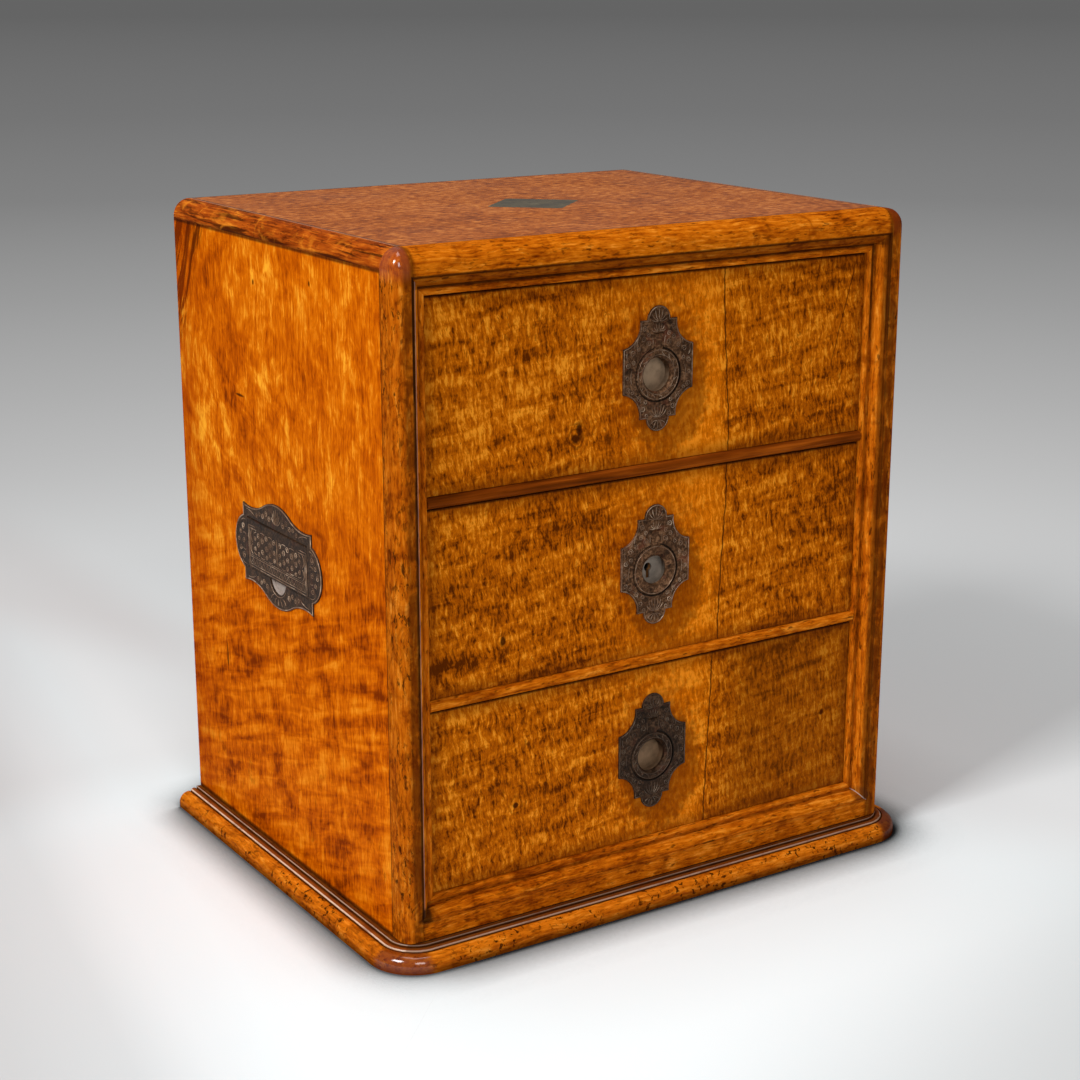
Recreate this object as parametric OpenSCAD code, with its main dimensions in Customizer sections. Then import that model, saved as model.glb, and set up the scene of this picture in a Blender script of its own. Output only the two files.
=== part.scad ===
// Desktop collectors cabinet: a moulded case with three drawers, flush ring pulls,
// lifting handles at both ends and a lock in the middle drawer.
// The front faces -Y and +Z is up. The origin lies on the table under the middle of the case.

/* [Case] */
// Width over the corner posts
case_w = 331; // [315:1:360]
// Depth from the post faces to the back
case_d = 266; // [245:1:300]
// Height from the table to the top
case_h = 380; // [362:1:420]
// Thickness of the side boards
side_t = 12; // [11.5:0.5:13]
// Thickness of the top
top_t = 11; // [10.5:0.5:13]
// Thickness of the bottom board
bottom_t = 12; // [10:0.5:14]
// Thickness of the back panel
back_t = 8; // [6:0.5:10]
// Width of the rebates that hold the back panel
rebate_w = 4; // [3:0.5:5]
// Radius of the rounded edges of the top
edge_r = 10; // [8:0.5:10]
// Radius of the rounded front corners
corner_r = 6; // [4:0.5:7]
// Width of the edging strips round the top
edging_w = 11; // [10.5:0.5:14]

/* [Plinth] */
// Height of the moulded plinth
plinth_h = 12; // [11:0.5:14]
// How far the plinth stands out from the case
plinth_out = 14.7; // [13.5:0.1:16.5]
// Radius of the front corners of the plinth, measured at the faces of the case
plinth_corner_r = 13; // [10:0.5:16]
// Radius of the rounded nose of the plinth
nose_r = 6.2; // [5.6:0.1:6.6]
// Height of the upright edge under the rounded nose
nose_low = 3.1; // [2.6:0.1:3.6]
// Width of the flat step against the case
step_w = 3; // [2.6:0.1:3.4]
// How far the flat step lies below the top of the plinth
step_drop = 0.6; // [0.4:0.1:1]
// Radius of the bead between step and nose
plinth_bead_r = 2.2; // [1.9:0.05:2.3]
// How far the bead runs into the flat step
bead_lap = 0.3; // [0.2:0.05:0.5]
// How far the bead lies below the top of the plinth
bead_drop = 1.4; // [1.2:0.1:1.8]
// Width of the groove between bead and nose
groove_w = 0.7; // [0.5:0.1:0.9]
// How far the floor of the groove lies below the top of the plinth
groove_drop = 4; // [3.6:0.1:4.4]

/* [Front frame] */
// Width of the corner posts as seen from the front
post_w = 10.7; // [10.5:0.1:12]
// Depth of the corner posts and rails
post_d = 14; // [13:0.5:18]
// Height of the top rail
top_rail_h = 14; // [13.5:0.5:18]
// Height of the bottom rail
bottom_rail_h = 10.5; // [8:0.5:14]
// Width of the mitred moulding inside the frame
moulding_w = 10.5; // [10:0.1:12]
// How far the moulding starts behind the post faces
moulding_step = 1.4; // [0.8:0.1:2]
// Radius of the large round of the moulding
ovolo_r = 5.4; // [4.5:0.1:5.6]
// How far the hollow of the moulding lies behind the round
hollow_step = 1.2; // [0.8:0.1:1.5]
// Radius of the small bead of the moulding
frame_bead_r = 1.6; // [1.2:0.1:1.8]
// How far the small bead lies behind the post faces
frame_bead_v = 6.8; // [6:0.1:7.5]

/* [Dividers and guides] */
// Thickness of the boards between the drawers
divider_t = 6; // [5.5:0.25:7]
// How far the rounded nose of a divider stands in front of the drawers
divider_nose = 3; // [2:0.25:3.5]
// Depth of the grooves in the sides that hold the dividers
housing_d = 4; // [3:0.5:5]
// Height of the guides beside the drawers
guide_h = 24; // [15:1:40]
// Width of the runners and of the strips above the upper drawer
runner_w = 20; // [18:1:30]
// Width of a drawer stop
stop_w = 18; // [10:1:30]
// Length of a drawer stop
stop_l = 10; // [6:1:16]
// Height of a drawer stop
stop_h = 3; // [2:0.25:3.5]
// Distance from the middle of a bay to a drawer stop
stop_x = 72; // [40:1:110]
// How far a divider reaches behind the closed drawer fronts
divider_lap = 5; // [3:0.5:10]

/* [Drawers] */
// How far the drawer faces lie behind the post faces
drawer_setback = 9.5; // [8.5:0.25:11]
// Thickness of a drawer front
front_t = 18; // [17:0.5:20]
// Thickness of a drawer side
drawer_side_t = 8; // [7:0.5:10]
// Thickness of a drawer back
drawer_back_t = 7; // [6:0.5:9]
// Thickness of a drawer bottom
drawer_bottom_t = 4; // [3:0.5:5]
// Height of a drawer bottom above the lower edge of the drawer
bottom_rise = 5; // [4.5:0.5:8]
// Depth of the grooves that hold a drawer bottom
groove_d = 3; // [2:0.5:4]
// How much lower a drawer side is than the drawer front
side_drop = 2; // [1:0.5:5]
// How much lower a drawer back is than a drawer side
back_drop = 5; // [3:0.5:10]
// Free space behind a closed drawer
drawer_rear_gap = 6; // [4:0.5:15]
// Gap at each side of a drawer
drawer_gap_x = 0.6; // [0.4:0.05:1]
// Gap under a drawer
drawer_gap_low = 0.4; // [0.3:0.05:0.6]
// Gap above a drawer front
drawer_gap_top = 0.8; // [0.5:0.05:1.2]
// Gap between a drawer front and its stops
stop_gap = 0.3; // [0.2:0.05:0.5]

/* [Dovetails] */
// Number of tails at the front of a drawer side
front_tails = 4; // [3:1:5]
// Number of tails at the back of a drawer side
back_tails = 3; // [2:1:4]
// Wood left in front of the lapped dovetails
dovetail_lap = 5; // [4:0.5:7]
// Width of a tail at its root as a share of the spacing
tail_share = 0.52; // [0.45:0.01:0.6]
// Slope of the dovetails as a share of their length
tail_slope = 0.16; // [0.12:0.01:0.2]

/* [Ring pulls] */
// Width of a pull plate
pull_w = 46; // [42:0.5:50]
// Height of a pull plate over the lobes
pull_h = 68.4; // [66:0.2:72]
// Height of a pull plate over the shoulders
pull_shoulder_h = 53.6; // [52:0.2:56]
// Width of a pull plate between the shoulder points
pull_shoulder_w = 23.8; // [22:0.2:26]
// Length of the straight edges at both sides of a pull plate
pull_flat = 24.4; // [22:0.2:26]
// Radius of the lobes at the ends of a pull plate
pull_lobe_r = 7.4; // [7.2:0.1:8]
// Thickness of a pull plate
pull_t = 2.8; // [2.6:0.1:3.2]
// How far the plates stand proud of the wood
plate_proud = 0.8; // [0.5:0.1:1]
// Outer diameter of a ring
ring_od = 28.6; // [27:0.2:29.4]
// Finger hole of a ring
ring_id = 18.6; // [17:0.2:19]
// Finger hole of the ring over the keyhole
lock_ring_id = 15.8; // [15:0.2:17]
// Thickness of a ring
ring_t = 2; // [1.8:0.1:2.1]
// Bevel round the finger hole
ring_bevel = 1.1; // [0.6:0.1:1.4]
// Small bevel round the outside of a ring
ring_rim_bevel = 0.4; // [0.2:0.05:0.6]
// How far a ring sits below the middle of its plate
ring_drop = 3.2; // [2.8:0.1:3.6]
// Distance from the middle of a ring to its hinge
ring_arm = 21.2; // [20.5:0.1:22]
// Width of the stem between ring and hinge
stem_w = 5.4; // [4.8:0.1:6]
// Radius of the hinge knuckle of a ring
knuckle_r = 1.35; // [1.3:0.05:1.4]
// Gap between a ring and its seat
ring_gap = 0.3; // [0.25:0.05:0.4]
// Gap under a ring
ring_under = 0.25; // [0.2:0.05:0.3]
// Diameter of the dish behind a ring
dish_d = 19.6; // [19.2:0.1:20.4]
// Depth of the dish below the seat of the ring
dish_depth = 5; // [4.5:0.25:5.5]
// Wall of the dish
dish_wall = 1; // [0.8:0.1:1.2]
// Diameter of a ring hinge pin
ring_pin_d = 1.4; // [1.2:0.1:1.4]
// Length of a ring hinge pin
ring_pin_l = 11; // [9:0.5:13]

/* [Side handles] */
// Length of a handle plate over its end lobes
handle_l = 109.4; // [107:0.2:112]
// Length of a handle plate between its points
handle_point_l = 86.4; // [85:0.2:88]
// Height of a handle plate over its arches
handle_arch_h = 60.6; // [60:0.2:62]
// Height of a handle plate at its waist
handle_waist_h = 44.2; // [43.6:0.2:45]
// Distance from the middle to the lowest point of the waist
handle_waist_y = 34; // [33:0.5:35]
// Distance from the middle to the turn of the arch
handle_turn_y = 15; // [14:0.5:16]
// Height of a handle plate at the turn of the arch
handle_turn_h = 54; // [53:0.2:55]
// Half height of an end lobe where it meets the points
handle_lobe_h = 16; // [15:0.5:17]
// Thickness of a handle plate
handle_t = 3; // [2.8:0.1:3.4]
// How far a handle lies above the middle of the side
handle_rise = 1.7; // [0:0.1:4]
// Length of the hinged flap
flap_l = 75.4; // [73:0.2:77]
// Height of the hinged flap
flap_h = 29.8; // [28:0.2:31]
// How far the flap lies above the middle of its plate
flap_rise = 0.6; // [0:0.1:1]
// Thickness of the flap
flap_t = 2; // [1.8:0.1:2.2]
// Radius of the knuckle along the top of the flap
flap_knuckle_r = 1.05; // [1:0.05:1.15]
// Gap round the flap
flap_gap = 0.35; // [0.3:0.05:0.5]
// Width of the thumb notch under the flap
notch_w = 20.2; // [18:0.2:22]
// Depth of the thumb notch under the flap
notch_h = 7.6; // [7:0.1:8]
// How far the floor of the thumb notch reaches in under the flap
notch_reach = 1.6; // [1.2:0.1:2]
// Thickness of the floor of the thumb notch
notch_floor_t = 0.8; // [0.6:0.1:1]
// Depth of the finger well behind a handle plate
well_depth = 6.8; // [6:0.1:7.2]
// Wall of the finger well
well_wall = 0.8; // [0.6:0.1:1]
// Diameter of a flap hinge pin
flap_pin_d = 1; // [0.9:0.05:1.1]
// How far a flap pin reaches into the plate at each end
flap_pin_end = 4; // [3:0.5:5]
// Size of the seats behind the lower corners of a flap
flap_seat = 5; // [4:0.5:7]

/* [Lock] */
// Width of the lock case
lock_w = 44; // [40:1:50]
// Depth of the lock case
lock_t = 8.4; // [8:0.1:8.8]
// Distance from the key post to the lower end of the lock case
lock_foot = 15; // [13:0.5:18]
// Thickness of the lock plates
lock_plate_t = 1.4; // [1.2:0.1:1.6]
// Width of the head of the bolt
bolt_head_w = 16; // [12:0.5:20]
// Width of the body of the bolt
bolt_body_w = 28; // [24:0.5:30]
// Height of the body of the bolt
bolt_body_h = 14; // [10:0.5:16]
// Width of the tail of the bolt
bolt_tail_w = 12; // [10:0.5:14]
// Width and depth of the notch in the tail of the bolt
bolt_notch = 4; // [3:0.5:5]
// Travel of the bolt
bolt_travel = 5.5; // [5:0.25:5.5]
// Gap round the bolt
bolt_gap = 0.3; // [0.25:0.05:0.4]
// How far the resting bolt lies below the edge of the drawer front
bolt_sink = 0.4; // [0.3:0.1:0.6]
// Diameter of the round part of the keyhole
keyhole_d = 5; // [4.6:0.1:5.6]
// Width of the slot of the keyhole
keyhole_slot_w = 2.4; // [2:0.1:2.8]
// Length of the slot below the middle of the keyhole
keyhole_slot_l = 6.4; // [5.6:0.1:7]
// Diameter of the key post
key_post_d = 2.4; // [2:0.1:2.8]

/* [Plaque] */
// Length of the lozenge plaque in the top
plaque_l = 60; // [50:1:70]
// Width of the lozenge plaque in the top
plaque_w = 56; // [46:1:66]
// Thickness of the plaque
plaque_t = 1.4; // [1:0.1:2]
// Width of the clipped ends of the plaque
plaque_clip = 3; // [2:0.5:5]

/* [Fits] */
// Radial clearance of a pin that is fixed in its plate
fixed_pin_gap = 0.02; // [0.01:0.01:0.03]
// Radial clearance of a pin in a turning knuckle
running_pin_gap = 0.06; // [0.05:0.01:0.08]
// Clearance of a fitting in its wooden recess
recess_gap = 0.15; // [0.1:0.05:0.2]
// Room between a flap and the ends of its well
well_end_room = 1.05; // [0.8:0.05:1.2]
// Room above and below a flap in its well
well_edge_room = 0.7; // [0.6:0.05:1]

/* [Hidden] */
$fn = 96;

// Cutters run past the face that they open by this much
cut = 1;
// The smallest flat left beside a rounded edge
land = 0.5;
round_r = min(edge_r, post_w - land, post_d - land, top_t - land, edging_w - land);
front_r = min(corner_r, round_r - land);
half_w = case_w / 2;
inner_x = half_w - side_t;
open_x = half_w - post_w;
bay_x = open_x - moulding_w;
back_v = case_d - back_t;
side_top = case_h - top_t;
frame_low = plinth_h + bottom_rail_h;
frame_high = case_h - top_rail_h;
bay_low = frame_low + moulding_w;
bay_high = frame_high - moulding_w;
bay_h = (bay_high - bay_low - 2 * divider_t) / 3;
bead_out = step_w + plinth_bead_r - bead_lap;
nose_in = bead_out + plinth_bead_r + groove_w;

drawer_w = 2 * (bay_x - drawer_gap_x);
front_h = bay_h - drawer_gap_low - drawer_gap_top;
drawer_side_h = front_h - side_drop;
drawer_l = back_v - drawer_setback - drawer_rear_gap;
drawer_in_x = drawer_w / 2 - drawer_side_t;
drawer_back_low = bottom_rise + drawer_bottom_t;
drawer_back_h = drawer_side_h - back_drop - drawer_back_low;
divider_back = drawer_setback + front_t + divider_lap;

pull_r = ((pull_w - pull_shoulder_w) / 2 + (pull_shoulder_h - pull_flat) / 2) / 2;
seat_r = ring_od / 2 + ring_gap;
seat_depth = ring_t + ring_under;
knuckle_depth = knuckle_r - plate_proud;
ring_axis_z = ring_arm - ring_drop;
dish_floor = seat_depth - plate_proud + dish_depth;

handle_v = (post_d + case_d) / 2;
handle_z = (plinth_h + side_top) / 2 + handle_rise;
turn_rise = (handle_arch_h - handle_turn_h) / 2;
arch_r = (pow(handle_turn_y, 2) + pow(turn_rise, 2)) / (2 * turn_rise);
waist_run = handle_waist_y - handle_turn_y;
waist_rise = (handle_turn_h - handle_waist_h) / 2;
waist_r = (pow(waist_run, 2) + pow(waist_rise, 2)) / (2 * waist_rise);
lobe_out = (handle_l - handle_point_l) / 2;
lobe_r = (pow(handle_lobe_h, 2) + pow(lobe_out, 2)) / (2 * lobe_out);
notch_r = (pow(notch_w / 2, 2) + pow(notch_h, 2)) / (2 * notch_h);
flap_low = flap_rise - flap_h / 2;
flap_high = flap_rise + flap_h / 2;
flap_axis_z = flap_high - flap_knuckle_r;
flap_axis_t = flap_knuckle_r - plate_proud;
plate_back = handle_t - plate_proud;
well_low = flap_low - notch_h - well_edge_room;
well_high = flap_high + well_edge_room;
well_x = flap_l / 2 + well_end_room;

lock_front = front_t - lock_t;
bolt_front = lock_front + lock_plate_t + bolt_gap;
bolt_rear = front_t - lock_plate_t - bolt_gap;
bolt_top = front_h - bolt_sink;
bolt_body_top = front_h - lock_plate_t - bolt_travel - bolt_gap;
key_z = front_h / 2 - ring_drop + (bay_h / 2 - drawer_gap_low - front_h / 2);

wood_orange = [0.62, 0.34, 0.14];
wood_gold = [0.66, 0.42, 0.18];
wood_red = [0.40, 0.17, 0.09];
wood_pale = [0.72, 0.56, 0.36];
bronze = [0.30, 0.24, 0.18];
steel = [0.60, 0.60, 0.60];

function bay_z(i) = bay_low + i * (bay_h + divider_t);
function drawer_z(i) = bay_z(i) + drawer_gap_low;
function pull_z(i) = bay_z(i) + bay_h / 2;
function ring_hole(i) = i == 1 ? lock_ring_id : ring_id;

// Places children with y measured from the plane of the post faces
module from_front() {
    translate([0, -case_d / 2, 0]) children();
}

// Stands a flat outline upright, facing the front, between two depths
module slab_y(v0, v1) {
    translate([0, v1, 0]) rotate([90, 0, 0]) linear_extrude(v1 - v0) children();
}

// Stands a flat outline upright, facing the left side, between two depths
module slab_x(x0, x1) {
    translate([x0, 0, 0]) rotate([90, 0, 90]) linear_extrude(x1 - x0) children();
}

// Quarter disc to the upper left of its centre
module quarter(r) {
    intersection() {
        circle(r);
        translate([-r, 0]) square(r);
    }
}

// Section across an edge that is rounded at its upper outer corner
module edging_section(w, h) {
    translate([round_r, 0]) square([w - round_r, h]);
    square([w, h - round_r]);
    translate([round_r, h - round_r]) quarter(round_r);
}

// Upright block with a rounded outer edge and a rounded top that meet in a soft corner
module corner_block(w, d, h) {
    intersection() {
        rotate([90, 0, 90]) linear_extrude(w) edging_section(d, h);
        translate([0, d, 0]) rotate([90, 0, 0]) linear_extrude(d) edging_section(w, h);
        linear_extrude(h) {
            translate([front_r, 0]) square([w - front_r, d]);
            translate([0, front_r]) square([w, d - front_r]);
        }
    }
    translate([front_r, front_r, 0]) rotate([0, 0, 180]) rotate_extrude(angle = 90) {
        square([front_r, h - round_r]);
        intersection() {
            translate([front_r - round_r, h - round_r]) circle(round_r);
            translate([0, h - round_r]) square([front_r, round_r]);
        }
    }
}

// Section of the plinth moulding, measured outwards from the case
module plinth_section() {
    square([step_w, plinth_h - step_drop]);
    translate([bead_out, plinth_h - bead_drop - plinth_bead_r]) circle(plinth_bead_r);
    square([nose_in, plinth_h - groove_drop]);
    square([plinth_out, nose_low]);
    intersection() {
        translate([plinth_out - nose_r, nose_low]) circle(nose_r);
        translate([nose_in, 0]) square([plinth_out - nose_in, plinth_h]);
    }
}

module plinth_run(l) {
    rotate([90, 0, 90]) linear_extrude(l) mirror([1, 0]) plinth_section();
}

module plinth_corner() {
    rotate([0, 0, 180]) rotate_extrude(angle = 90) {
        translate([plinth_corner_r, 0]) plinth_section();
        square([plinth_corner_r, plinth_h]);
    }
}

// Plinth with its moulding on three sides, cut off flush at the back
module base_plinth() {
    run_w = case_w - 2 * plinth_corner_r;
    run_d = case_d - plinth_corner_r;
    color(wood_orange) from_front() {
        translate([-half_w, plinth_corner_r, 0]) cube([case_w, run_d, plinth_h]);
        translate([plinth_corner_r - half_w, 0, 0]) {
            cube([run_w, plinth_corner_r, plinth_h]);
            plinth_run(run_w);
        }
        for (side = [0, 1]) mirror([side, 0, 0]) {
            translate([half_w, plinth_corner_r, 0]) rotate([0, 0, 90]) plinth_run(run_d);
            translate([plinth_corner_r - half_w, plinth_corner_r, 0]) plinth_corner();
        }
    }
}

module bottom_board() {
    color(wood_pale) from_front()
        translate([-inner_x, post_d, plinth_h]) cube([2 * inner_x, back_v - post_d, bottom_t]);
}

// Outline of a handle plate, points towards the four corners, lobes at the ends
module handle_outline() {
    arch_x = handle_turn_y + 4 * land;
    difference() {
        union() {
            square([handle_point_l, handle_turn_h - 2 * land], center = true);
            for (turn = [0, 180]) rotate(turn) intersection() {
                translate([0, handle_arch_h / 2 - arch_r]) circle(arch_r);
                translate([-arch_x, 0]) square([2 * arch_x, handle_arch_h / 2 + cut]);
            }
        }
        for (sx = [-1, 1], sy = [-1, 1])
            translate([sx * handle_waist_y, sy * (handle_waist_h / 2 + waist_r)]) circle(waist_r);
    }
    for (turn = [0, 180]) rotate(turn) intersection() {
        translate([handle_l / 2 - lobe_r, 0]) circle(lobe_r);
        translate([0, -handle_lobe_h]) square([handle_l / 2 + cut, 2 * handle_lobe_h]);
    }
}

module flap_opening() {
    translate([-flap_l / 2 - flap_gap, flap_low - flap_gap])
        square([flap_l + 2 * flap_gap, flap_h + 2 * flap_gap]);
    intersection() {
        translate([0, flap_low - notch_h + notch_r]) circle(notch_r);
        translate([-notch_w / 2, flap_low - notch_h]) square([notch_w, notch_h]);
    }
}

// Plan of the well behind a flap, with a narrow foot behind the thumb notch
module well_plan(grow) {
    foot_w = notch_w + 2 * (well_edge_room + grow);
    body_low = flap_low - well_edge_room - grow;
    translate([-well_x - grow, body_low]) square([2 * (well_x + grow), well_high + grow - body_low]);
    translate([-foot_w / 2, well_low - grow]) square([foot_w, well_high - well_low]);
}

// Moves a handle part from its own middle to the left side
module on_left() {
    from_front() translate([-half_w, handle_v, handle_z]) children();
}

module side_board() {
    difference() {
        from_front() translate([-half_w, 0, plinth_h])
            translate([0, post_d, 0]) cube([side_t, case_d - post_d, side_top - plinth_h]);
        from_front() for (i = [0, 1])
            translate([-inner_x - housing_d, post_d - cut, bay_z(i) + bay_h])
                cube([housing_d + cut, back_v - post_d + cut, divider_t]);
        from_front() translate([-inner_x - rebate_w, back_v, plinth_h - cut])
            cube([rebate_w + cut, back_t + cut, side_top - plinth_h + 2 * cut]);
        on_left() slab_x(-cut, plate_back) handle_outline();
        on_left() slab_x(-cut, plate_back + well_depth + well_wall + recess_gap)
            well_plan(well_wall + recess_gap);
    }
}

module left_side_board() {
    color(wood_orange) side_board();
}

module right_side_board() {
    color(wood_orange) mirror([1, 0, 0]) side_board();
}

module back_panel() {
    color(wood_pale) from_front() translate([-inner_x - rebate_w, back_v, plinth_h])
        cube([2 * (inner_x + rebate_w), back_t, side_top - plinth_h]);
}

module plaque_outline() {
    l = plaque_l / 2;
    w = plaque_w / 2;
    c = plaque_clip / 2;
    polygon([
        [l, -c], [l, c], [c, w], [-c, w],
        [-l, c], [-l, -c], [-c, -w], [c, -w]
    ]);
}

module top_board() {
    color(wood_red) difference() {
        from_front() translate([edging_w - half_w, post_d, side_top])
            cube([case_w - 2 * edging_w, case_d - post_d, top_t]);
        translate([0, 0, case_h - plaque_t]) linear_extrude(plaque_t + cut) plaque_outline();
    }
}

module top_side_edging() {
    from_front() translate([-half_w, case_d, side_top]) rotate([90, 0, 0])
        linear_extrude(case_d - post_d) edging_section(edging_w, top_t);
}

module top_left_edging() {
    color(wood_orange) top_side_edging();
}

module top_right_edging() {
    color(wood_orange) mirror([1, 0, 0]) top_side_edging();
}

module top_plaque() {
    color(bronze) translate([0, 0, case_h - plaque_t]) linear_extrude(plaque_t) plaque_outline();
}

module corner_post() {
    from_front() translate([-half_w, 0, plinth_h])
        corner_block(post_w, post_d, case_h - plinth_h);
}

module left_corner_post() {
    color(wood_orange) corner_post();
}

module right_corner_post() {
    color(wood_orange) mirror([1, 0, 0]) corner_post();
}

module top_front_rail() {
    color(wood_orange) from_front() translate([-open_x, 0, frame_high])
        rotate([90, 0, 90]) linear_extrude(2 * open_x) edging_section(post_d, top_rail_h);
}

module bottom_front_rail() {
    color(wood_orange) from_front() translate([-open_x, 0, plinth_h])
        cube([2 * open_x, post_d, bottom_rail_h]);
}

// Section of the frame moulding: a large round, a hollow and a small bead at the drawers
module moulding_section() {
    round_v = moulding_step + ovolo_r;
    bead_c = frame_bead_v + frame_bead_r;
    translate([0, round_v]) intersection() {
        circle(ovolo_r);
        translate([0, -ovolo_r]) square(ovolo_r);
    }
    translate([0, round_v]) square([ovolo_r, hollow_step]);
    translate([0, round_v + hollow_step])
        square([moulding_w - frame_bead_r, post_d - round_v - hollow_step]);
    translate([moulding_w - frame_bead_r, bead_c]) circle(frame_bead_r);
    translate([moulding_w - 2 * frame_bead_r, bead_c])
        square([2 * frame_bead_r, post_d - bead_c]);
}

// One strip of the frame, lying along X, inner edge upwards, mitred at both ends
module moulding_strip(l) {
    intersection() {
        rotate([90, 0, 90]) linear_extrude(l) mirror([1, -1]) moulding_section();
        slab_y(-cut, post_d + cut)
            polygon([[0, 0], [l, 0], [l - moulding_w, moulding_w], [moulding_w, moulding_w]]);
    }
}

module top_frame_moulding() {
    color(wood_orange) from_front() translate([open_x, 0, frame_high])
        rotate([0, 180, 0]) moulding_strip(2 * open_x);
}

module bottom_frame_moulding() {
    color(wood_orange) from_front() translate([-open_x, 0, frame_low])
        moulding_strip(2 * open_x);
}

module left_frame_moulding() {
    color(wood_orange) from_front() translate([-open_x, 0, frame_high])
        rotate([0, 90, 0]) moulding_strip(frame_high - frame_low);
}

module right_frame_moulding() {
    color(wood_orange) from_front() translate([open_x, 0, frame_low])
        rotate([0, -90, 0]) moulding_strip(frame_high - frame_low);
}

// Divider above bay i, with a rounded nose between the drawers and housed ends
module divider(i) {
    nose_c = drawer_setback - divider_nose + divider_t / 2;
    from_front() translate([0, 0, bay_z(i) + bay_h]) {
        translate([-bay_x, nose_c, 0]) cube([2 * bay_x, post_d - nose_c, divider_t]);
        translate([-bay_x, nose_c, divider_t / 2]) rotate([0, 90, 0])
            cylinder(h = 2 * bay_x, d = divider_t);
        translate([-inner_x - housing_d, post_d, 0])
            cube([2 * (inner_x + housing_d), divider_back - post_d, divider_t]);
    }
}

// The slot in the upper divider that takes the thrown bolt
module bolt_mortise() {
    depth = bolt_travel - bolt_sink - drawer_gap_top + bolt_gap;
    from_front() translate([-bolt_head_w / 2 - bolt_gap, drawer_setback + bolt_front - bolt_gap, 0])
        translate([0, 0, bay_z(1) + bay_h - cut])
            cube([bolt_head_w + 2 * bolt_gap, bolt_rear - bolt_front + 2 * bolt_gap, depth + cut]);
}

module upper_divider() {
    color(wood_red) difference() {
        divider(1);
        bolt_mortise();
    }
}

module lower_divider() {
    color(wood_orange) divider(0);
}

module dustboard(i) {
    from_front() translate([-inner_x - housing_d, divider_back, bay_z(i) + bay_h])
        cube([2 * (inner_x + housing_d), back_v - divider_back, divider_t]);
}

module upper_dustboard() {
    color(wood_pale) dustboard(1);
}

module lower_dustboard() {
    color(wood_pale) dustboard(0);
}

module drawer_guides() {
    color(wood_pale) from_front() for (side = [0, 1], i = [0:2])
        mirror([side, 0, 0]) translate([bay_x, post_d, bay_z(i)])
            cube([inner_x - bay_x, back_v - post_d, guide_h]);
}

module drawer_runners() {
    color(wood_pale) from_front() for (side = [0, 1])
        mirror([side, 0, 0]) translate([inner_x - runner_w, post_d, plinth_h + bottom_t])
            cube([runner_w, back_v - post_d, bay_low - plinth_h - bottom_t]);
}

module drawer_kickers() {
    color(wood_pale) from_front() for (side = [0, 1])
        mirror([side, 0, 0]) translate([inner_x - runner_w, post_d, bay_high])
            cube([runner_w, back_v - post_d, side_top - bay_high]);
}

module drawer_stops() {
    stop_v = drawer_setback + front_t + stop_gap;
    color(wood_pale) from_front() for (side = [0, 1]) mirror([side, 0, 0]) {
        translate([stop_x, stop_v, plinth_h + bottom_t])
            cube([stop_w, stop_l, bay_low + stop_h - plinth_h - bottom_t]);
        for (i = [1, 2]) translate([stop_x, stop_v, bay_z(i)]) cube([stop_w, stop_l, stop_h]);
    }
}

// Outline of one tail that widens from its root to its tip, carried past the root by a given length
module tail(c, w, root, tip, past) {
    way = sign(tip - root);
    a = min(tip, root - way * past);
    b = max(tip, root - way * past);
    ha = w / 2 + tail_slope * way * (a - root);
    hb = w / 2 + tail_slope * way * (b - root);
    polygon([[a, c - ha], [b, c - hb], [b, c + hb], [a, c + ha]]);
}

module front_tail_set(past) {
    pitch = drawer_side_h / front_tails;
    for (k = [0:front_tails - 1])
        tail((k + 0.5) * pitch, tail_share * pitch, front_t, dovetail_lap, past);
}

module back_tail_set(past) {
    pitch = drawer_back_h / back_tails;
    for (k = [0:back_tails - 1])
        tail(drawer_back_low + (k + 0.5) * pitch, tail_share * pitch,
            drawer_l - drawer_back_t, drawer_l, past);
}

// Moves a drawer part to bay i
module in_bay(i) {
    from_front() translate([0, drawer_setback, drawer_z(i)]) children();
}

module drawer_side(i) {
    in_bay(i) difference() {
        slab_x(-drawer_w / 2, -drawer_in_x) {
            translate([front_t, 0]) square([drawer_l - front_t - drawer_back_t, drawer_side_h]);
            translate([front_t, 0]) square([drawer_l - front_t, drawer_back_low]);
            translate([front_t, drawer_back_low + drawer_back_h])
                square([drawer_l - front_t, back_drop]);
            front_tail_set(cut);
            back_tail_set(cut);
        }
        translate([-drawer_in_x - groove_d, front_t, bottom_rise])
            cube([groove_d + cut, drawer_l - front_t + cut, drawer_bottom_t]);
    }
}

module drawer_back(i) {
    in_bay(i) difference() {
        translate([-drawer_w / 2, drawer_l - drawer_back_t, drawer_back_low])
            cube([drawer_w, drawer_back_t, drawer_back_h]);
        for (side = [0, 1]) mirror([side, 0, 0])
            slab_x(-drawer_w / 2 - cut, -drawer_in_x) back_tail_set(cut);
    }
}

module drawer_bottom(i) {
    in_bay(i) translate([0, 0, bottom_rise]) {
        translate([-drawer_in_x - groove_d, front_t, 0])
            cube([2 * (drawer_in_x + groove_d), drawer_l - front_t, drawer_bottom_t]);
        translate([-drawer_in_x, front_t - groove_d, 0])
            cube([2 * drawer_in_x, groove_d, drawer_bottom_t]);
    }
}

// Outline of a pull plate: straight sides, hollow shoulders and a lobe at each end
module pull_outline() {
    difference() {
        square([pull_w, pull_shoulder_h], center = true);
        for (sx = [-1, 1], sy = [-1, 1])
            translate([sx * (pull_shoulder_w / 2 + pull_r), sy * (pull_flat / 2 + pull_r)])
                circle(pull_r);
    }
    for (sy = [-1, 1]) translate([0, sy * (pull_h / 2 - pull_lobe_r)]) circle(pull_lobe_r);
}

module keyhole_outline() {
    circle(d = keyhole_d);
    translate([-keyhole_slot_w / 2, -keyhole_slot_l]) square([keyhole_slot_w, keyhole_slot_l]);
}

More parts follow.
